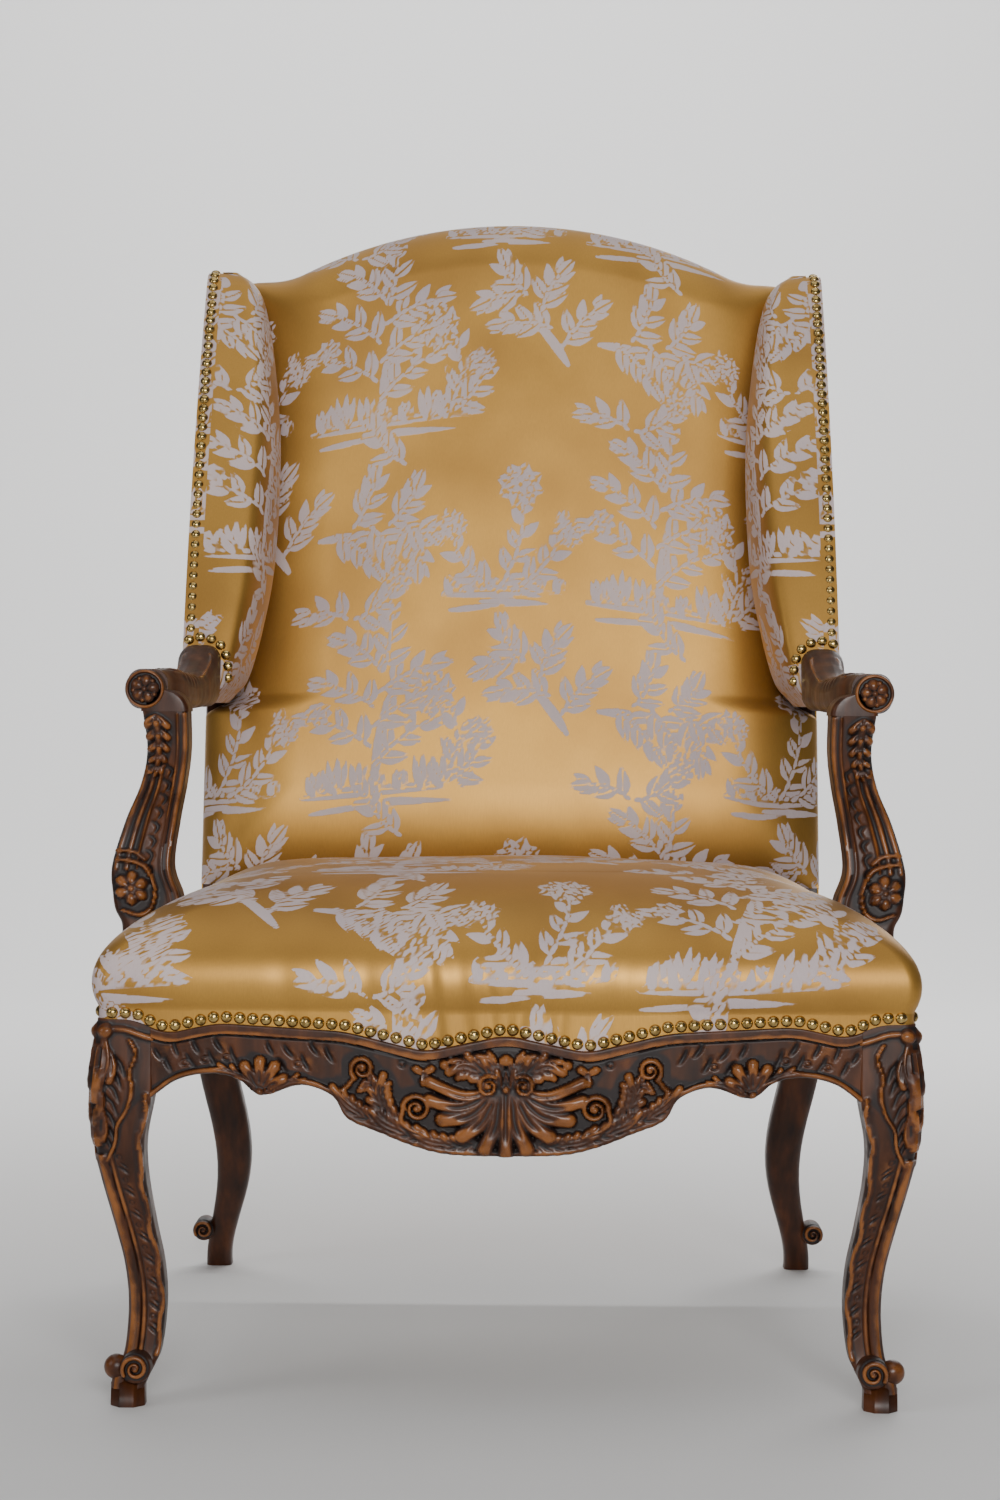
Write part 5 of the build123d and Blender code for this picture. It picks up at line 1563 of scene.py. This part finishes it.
def arm_block():
    """The coved block under the right arm that its support is pinned to."""
    support_top, inset, width, _ = SUPPORT_STATIONS[-1]
    support_half = width / 2 + 1.0
    support_x = SUPPORT_SIDE - inset
    arm_inner = ARM_STATIONS[1][1] - ARM_STATIONS[1][3] / 2
    share = np.linspace(0, 1, 12)[:, None]
    cove = 1 - np.sqrt(1 - share ** 2)
    inner = support_x - support_half + cove * (arm_inner + 3.0 - support_x + support_half)
    outer = support_x + support_half - 2.0 * share
    low = support_top - PART_OVERLAP
    z = low + share * (ARM_HEIGHT - low)
    middle = ((outer + inner) / 2, SUPPORT_Y)
    return plain_part(z, (outer - inner) / 2, SUPPORT_DEPTH / 2, middle, radius=5.0, turns=5)


def arms(wood):
    """Both carved arms and arm supports."""
    place = (ROUNDEL_X, ARM_FRONT_Y, ARM_HEIGHT)
    roundel = roundel_part(place, ROUNDEL_RADIUS, ROUNDEL_LENGTH, carve_roundel)
    carved_pair("carved_arm", [arm_part(), arm_block(), roundel], wood, ["arm"])
    carved_pair("carved_arm_support", [support_part(), support_foot()], wood, ["arm_support"])


# Nails that are too small for the frame: round the rear end of each arm and over the wing's corner

def nail_part(place, facing):
    """A domed nail head on a surface, seen from the direction that it faces."""
    facing = np.array(facing) / np.linalg.norm(facing)
    first = np.array((1.0, 0.0, 0.0))
    second = np.cross(facing, first)
    turn, rise = np.meshgrid(np.linspace(0, 2 * pi, 20, endpoint=False), np.linspace(-0.3, 1.5, 10))
    out = NAIL_RADIUS * np.cos(rise)
    grid = (np.array(place) + (NAIL_HEIGHT * np.sin(rise))[..., None] * facing
            + (out * np.cos(turn))[..., None] * first + (out * np.sin(turn))[..., None] * second)
    return tube_piece(grid, np.zeros(turn.shape))


def spaced(path):
    """Points along a path, a nail's pitch apart."""
    length = np.concatenate([[0], np.cumsum(np.linalg.norm(np.diff(path, axis=0), axis=1))])
    places = np.arange(0, length[-1], NAIL_PITCH)
    return np.stack([np.interp(places, length, column) for column in path.T], -1)


def wing_front(x, z):
    """The depth of the right wing's front at a place: the nailed strip, or the roll beside it."""
    turn = np.linspace(0, pi / 2, 60)
    roll = roll_surface(np.full(60, z), turn)
    return np.interp(x, roll[::-1, 0], roll[::-1, 1], right=wing_edge(z, COVER))


def extra_nails(brass):
    """Both sides' nails round the arm's end and over the top corner of the wing."""
    parts = []
    for x, z in spaced(smooth_path(ARM_NAIL_LINE)):
        parts.append(nail_part((x, wing_front(x, z), z), (0.0, -1.0, 0.0)))
    z = np.linspace(corner("wing_nails_right", 1)[2] - NAIL_RADIUS, WING_TOP + 0.9 * COVER, 80)
    line = np.stack([wing_edge(z, COVER), z], -1)
    x = corner("wing_nails_right", 1)[0] - NAIL_RADIUS
    for y, height in spaced(line)[1:]:
        along = wing_edge(height + 0.5, COVER) - wing_edge(height - 0.5, COVER)
        parts.append(nail_part((x, y, height), (0.0, -1.0, along)))
    points, faces, _ = joined(parts)
    both_sides("extra_nails", points, faces, brass, [])


# Rear feet: a scroll at the outer side of each

def rear_scrolls(wood):
    """The small scrolls on the rear feet."""
    scroll = roundel_part(REAR_SCROLL_PLACE, REAR_SCROLL_RADIUS, REAR_SCROLL_LENGTH, carve_scroll)
    carved_pair("rear_foot_scroll", [scroll], wood, [])


# Under the seat: interlaced bands of webbing, and the hessian that lies on them

def band_part(ends, centre, crossings, phase, lengthwise):
    """One band of webbing, which waves over and under the bands that it crosses."""
    place, side = np.meshgrid(np.linspace(*ends, 90), np.linspace(-0.5, 0.5, 9) * BAND_WIDTH, indexing="ij")
    wave = BAND_WAVE * np.cos(pi * ((place - crossings[0]) / (crossings[1] - crossings[0]) + phase))
    if lengthwise:
        top = np.stack([centre + side, place, WEBBING_TOP + wave], -1)
    else:
        top = np.stack([place, centre - side, WEBBING_TOP - wave], -1)
    points, faces = two_layers(top[:, ::-1], top[:, ::-1] - (0.0, 0.0, BAND_THICKNESS))
    return points, faces, np.zeros(len(points))


def band_parts():
    """Every band of webbing, lengthwise and crosswise in turn."""
    across = WEBBING_INSIDE * (2 * (np.arange(BANDS) + 0.5) / BANDS - 1)
    along = RAIL_REAR_Y + (REAR_Y - RAIL_REAR_Y) * (np.arange(BANDS) + 0.5) / BANDS
    parts = []
    for index, (x, y) in enumerate(zip(across, along)):
        reach = side_x(y) - BAND_ENDS
        if abs(y - SUPPORT_Y) < BAND_WIDTH / 2 + SUPPORT_ROOM:
            reach = SUPPORT_ROOM_X - BAND_ENDS / 2
        parts.append(band_part((WEBBING_LOW[1], WEBBING_HIGH[1]), x, along, index, True))
        parts.append(band_part((-reach, reach), y, across, index, False))
    return parts


def webbing(jute):
    """The seat's webbing as one piece."""
    parts = band_parts()
    points, faces, _ = joined(parts)
    piece = make_piece("webbing_bands", points, faces, jute, ["seat_webbing"])


def hessian(jute):
    """The hessian sheet between the webbing and the stuffing."""
    low, high = corner("seat_hessian", 0), corner("seat_hessian", 1)
    half = (FRONT_HALF + REAR_HALF) / 2 - REBATE, (REAR_Y - FRONT_Y) / 2 - REBATE
    ring = seat_point(rounded_ring(*half, SEAT_CORNER, (40, 40, 8)), 0.0)
    ring = tuck_supports(ring) * (1, 1, 0)
    grid = np.stack([ring + (0, 0, low[2] + HESSIAN_GAP), ring + (0, 0, high[2] - HESSIAN_GAP)])
    points, faces, _ = tube_piece(grid, np.zeros(grid.shape[:2]))
    piece = make_piece("hessian_sheet", points, faces, jute, ["seat_hessian"])


# Materials

def new_material(name):
    """A material with nodes, its tree and its main shader."""
    material = bpy.data.materials.new(name)
    material.use_nodes = True
    tree = material.node_tree
    return material, tree, tree.nodes["Principled BSDF"]


def connect(tree, socket, value):
    """Set a socket to a value, or link it to another socket."""
    if isinstance(value, bpy.types.NodeSocket):
        tree.links.new(value, socket)
    else:
        socket.default_value = value


def fill(tree, made, **inputs):
    """Set a node's inputs to values or link them to sockets, named with underscores for spaces."""
    for key, value in inputs.items():
        connect(tree, made.inputs[key.replace("_", " ")], value)


def node(tree, kind, settings=None, **inputs):
    """A new node with its settings and inputs."""
    made = tree.nodes.new("ShaderNode" + kind)
    for key, value in (settings or {}).items():
        setattr(made, key, value)
    fill(tree, made, **inputs)
    return made


def ramp(tree, share, stops):
    """Colours at places along a share, from its low values to its high ones."""
    made = node(tree, "ValToRGB", Fac=share)
    elements = made.color_ramp.elements
    while len(elements) < len(stops):
        elements.new(0.5)
    for element, (place, colour) in zip(elements, stops):
        element.position = place
        element.color = (*colour, 1.0)
    return made.outputs["Color"]


def mapped(tree, value, low, high, to_low=0.0, to_high=1.0):
    """A value moved from one range into another, with a soft step."""
    made = node(tree, "MapRange", {"interpolation_type": "SMOOTHSTEP"}, Value=value)
    for place, number in zip(range(1, 5), (low, high, to_low, to_high)):
        made.inputs[place].default_value = number
    return made.outputs["Result"]


def math(tree, operation, first, second):
    """The result of one sum on two sockets or numbers."""
    made = node(tree, "Math", {"operation": operation})
    connect(tree, made.inputs[0], first)
    connect(tree, made.inputs[1], second)
    return made.outputs[0]


def mixed(tree, share, first, second):
    """Two colours mixed by a share."""
    made = node(tree, "Mix", {"data_type": "RGBA"})
    connect(tree, made.inputs["Factor"], share)
    colours = [socket for socket in made.inputs if socket.type == "RGBA"]
    for socket, colour in zip(colours, (first, second)):
        connect(tree, socket, colour if isinstance(colour, bpy.types.NodeSocket) else (*colour, 1.0))
    return [socket for socket in made.outputs if socket.type == "RGBA"][0]


def noise(tree, scale, detail, stretch=(1.0, 1.0, 1.0)):
    """Noise in metres of the chair's frame, stretched along its axes."""
    place = node(tree, "TexCoord").outputs["Object"]
    moved = node(tree, "Mapping", Vector=place, Scale=stretch).outputs["Vector"]
    return node(tree, "TexNoise", Vector=moved, Scale=scale, Detail=detail).outputs["Fac"]


def speckle(tree, scale, detail, strength):
    """Noise about zero, with a strength between its lowest and highest values."""
    return math(tree, "MULTIPLY", math(tree, "SUBTRACT", noise(tree, scale, detail), 0.5), strength)


def stored(tree, name):
    """A value stored on the points of a mesh."""
    return node(tree, "Attribute", {"attribute_name": name}).outputs["Fac"]


def bump(tree, height, strength, distance):
    """Normals of a surface with fine relief, whose distance is in metres."""
    return node(tree, "Bump", Height=height, Strength=strength, Distance=distance).outputs["Normal"]


def satin_material():
    """Gold satin, which shines, with a matt, silvery woven design."""
    material, tree, shader = new_material("satin_brocade")
    cloud = noise(tree, 9.0, 2.0)
    thread = noise(tree, 900.0, 2.0, (1.0, 1.0, 0.12))
    ground = ramp(tree, cloud, ((0.3, GOLD_DEEP), (0.62, GOLD)))
    ground = mixed(tree, math(tree, "MULTIPLY", thread, 0.3), ground, GOLD_SHADE)
    figure = ramp(tree, cloud, ((0.3, LILAC_DEEP), (0.65, LILAC)))
    figure = mixed(tree, math(tree, "MULTIPLY", thread, 0.25), figure, SILVER)
    edge = math(tree, "ADD", stored(tree, "motif"), speckle(tree, 300.0, 2.0, 1.2))
    line = mapped(tree, stored(tree, "rib"), 1.5, 0.8)
    inside = math(tree, "MULTIPLY", mapped(tree, edge, 0.35, -0.35), math(tree, "SUBTRACT", 1.0, line))
    height = math(tree, "ADD", math(tree, "MULTIPLY", inside, 0.8), math(tree, "MULTIPLY", thread, 0.35))
    fill(tree, shader, Base_Color=mixed(tree, inside, ground, figure),
         Metallic=mapped(tree, inside, 0.0, 1.0, 0.80, 0.0),
         Roughness=mapped(tree, inside, 0.0, 1.0, 0.46, 0.62),
         Sheen_Weight=0.08, Sheen_Roughness=0.4, Sheen_Tint=(*SHEEN, 1.0),
         Normal=bump(tree, height, 0.28, 0.0004))
    return material


def walnut_colours(tree):
    """Streaky brown wood whose grain runs upright: its colour and its streaks."""
    streak = noise(tree, 70.0, 6.0, (1.0, 1.0, 0.16))
    patch = noise(tree, 14.0, 3.0)
    wood = ramp(tree, streak, ((0.28, WALNUT_DARK), (0.5, WALNUT), (0.72, WALNUT_RED)))
    return mixed(tree, math(tree, "MULTIPLY", patch, 0.35), wood, WALNUT_PATCH), streak


def walnut_material():
    """Plain polished walnut."""
    material, tree, shader = new_material("plain_walnut")
    colour, streak = walnut_colours(tree)
    fill(tree, shader, Base_Color=colour, Roughness=mapped(tree, streak, 0.2, 0.8, 0.34, 0.5),
         Specular_IOR_Level=WOOD_GLOSS, Normal=bump(tree, streak, 0.12, FINE_RELIEF))
    return material


def carved_material():
    """Carved walnut: dark with painted shade and dust in its hollows, and pale on its high edges from rubbing
    and a painted highlight.
    """
    material, tree, shader = new_material("carved_walnut")
    colour, streak = walnut_colours(tree)
    relief = stored(tree, "relief")
    uneven = math(tree, "ADD", speckle(tree, 120.0, 4.0, 0.9), speckle(tree, 38.0, 2.0, 1.8))
    # Raised edges get wear from rubbing and a painted highlight, varied by noise
    worn_and_highlit = math(tree, "ADD", relief, uneven)
    colour = mixed(tree, mapped(tree, worn_and_highlit, 0.25, 1.35, 0.0, 0.9), colour, WALNUT_RUBBED_HIGHLIGHT)
    # Hollows get painted shade with dust
    colour = mixed(tree, mapped(tree, relief, -0.12, -0.75, 0.0, 0.9), colour, WALNUT_HOLLOW_SHADE_AND_DUST)
    fill(tree, shader, Base_Color=colour, Roughness=mapped(tree, worn_and_highlit, -0.5, 0.9, 0.5, 0.27),
         Specular_IOR_Level=WOOD_GLOSS, Normal=bump(tree, streak, 0.15, FINE_RELIEF))
    return material


def frame_wood_material():
    """The rough beech of hidden frame members."""
    material, tree, shader = new_material("frame_wood")
    streak = noise(tree, 60.0, 5.0, (0.15, 1.0, 1.0))
    fill(tree, shader, Base_Color=ramp(tree, streak, ((0.3, BEECH_DARK), (0.7, BEECH))), Roughness=0.7)
    return material


def brass_material():
    """Antique brass with brown tarnish."""
    material, tree, shader = new_material("antique_brass")
    tarnish = noise(tree, 260.0, 3.0)
    fill(tree, shader, Base_Color=ramp(tree, tarnish, ((0.35, TARNISH), (0.62, BRASS))),
         Roughness=mapped(tree, tarnish, 0.3, 0.7, 0.3, 0.17), Metallic=1.0)
    return material


def jute_material(name, light):
    """Coarse plant-fibre cloth, woven both ways."""
    material, tree, shader = new_material(name)
    place = node(tree, "TexCoord").outputs["Object"]
    weave = []
    for axis in ("X", "Y"):
        wave = node(tree, "TexWave", {"bands_direction": axis}, Vector=place, Scale=WEAVE_SCALE,
                    Distortion=1.0)
        weave.append(wave.outputs["Fac"])
    fibre = math(tree, "MULTIPLY", math(tree, "MULTIPLY", *weave), noise(tree, 420.0, 4.0))
    fibre = math(tree, "ADD", fibre, math(tree, "MULTIPLY", noise(tree, 60.0, 3.0), 0.5))
    dark = tuple(0.45 * part for part in light)
    fill(tree, shader, Base_Color=ramp(tree, fibre, ((0.3, dark), (0.7, light))), Roughness=0.9,
         Normal=bump(tree, fibre, 0.5, FINE_RELIEF))
    return material


def stage_material():
    """The plain pale floor."""
    material, tree, shader = new_material("pale_floor")
    fill(tree, shader, Base_Color=(*FLOOR, 1.0), Roughness=0.75)
    return material


# Nodes of the frame that stay as they are

def finish_nodes(materials):
    """Give every CAD node that still shows its material."""
    for item in bpy.data.objects:
        name = item.name.removesuffix("_left").removesuffix("_right")
        if item.type == "MESH" and name in SHOWN_NODES:
            item.data.materials.clear()
            item.data.materials.append(materials[SHOWN_NODES[name]])


# Stage

def make_camera():
    """A level camera in front of the chair, a little to its right."""
    data = bpy.data.cameras.new("camera")
    data.lens = CAMERA_LENS
    data.shift_x, data.shift_y = CAMERA_SHIFT
    camera = add_object("camera", data)
    camera.location = (CAMERA_DISTANCE * sin(CAMERA_TURN), -CAMERA_DISTANCE * cos(CAMERA_TURN), CAMERA_HEIGHT)
    camera.rotation_euler = (pi / 2, CAMERA_ROLL, CAMERA_TURN)
    bpy.context.scene.camera = camera


def soft_light(name, place, target, size, power):
    """A rectangular soft light that faces a target."""
    data = bpy.data.lights.new(name, "AREA")
    data.shape = "RECTANGLE"
    data.size, data.size_y = size
    data.energy = power
    lamp = add_object(name, data)
    lamp.location = place
    lamp.rotation_euler = (Vector(target) - Vector(place)).to_track_quat("-Z", "Y").to_euler()


def make_stage():
    """Floor with its backdrop, and lights."""
    turn = np.linspace(0, pi / 2, 16)
    wall = SWEEP_START + SWEEP_RADIUS
    depth = np.concatenate([[-SWEEP_START], SWEEP_START + SWEEP_RADIUS * np.sin(turn), [wall]])
    height = np.concatenate([[0.0], SWEEP_RADIUS * (1 - np.cos(turn)), [3 * SWEEP_RADIUS]])
    points = [(side * SWEEP_WIDTH, y, z) for y, z in zip(depth, height) for side in (-1, 1)]
    mesh = bpy.data.meshes.new("floor")
    mesh.from_pydata(points, [], [face[::-1] for face in grid_faces(len(depth), 2)])
    mesh.polygons.foreach_set("use_smooth", np.ones(len(mesh.polygons), dtype=bool))
    floor = add_object("floor", mesh)
    floor.data.materials.append(stage_material())
    world = bpy.data.worlds.new("studio")
    world.use_nodes = True
    background = world.node_tree.nodes["Background"]
    fill(world.node_tree, background, Color=(*ROOM_LIGHT, 1.0), Strength=ROOM_STRENGTH)
    bpy.context.scene.world = world
    for name, (place, target, size, power) in LIGHTS.items():
        soft_light(name, place, target, size, power)


# The whole scene

def build():
    """Make every piece, the stage and the camera."""
    materials = {
        "walnut": walnut_material(), "frame_wood": frame_wood_material(), "brass": brass_material(),
        "carved": carved_material(), "satin": satin_material(),
        "webbing": jute_material("jute_webbing", JUTE), "hessian": jute_material("hessian", HESSIAN),
    }
    finish_nodes(materials)
    seat_piece(materials["satin"])
    back_piece(materials["satin"])
    outside_back(materials["satin"])
    wing_rolls(materials["satin"])
    wing_outsides(materials["satin"])
    rail_piece(materials["carved"])
    front_legs(materials["carved"])
    arms(materials["carved"])
    extra_nails(materials["brass"])
    rear_scrolls(materials["carved"])
    webbing(materials["webbing"])
    hessian(materials["hessian"])
    make_stage()
    make_camera()


build()
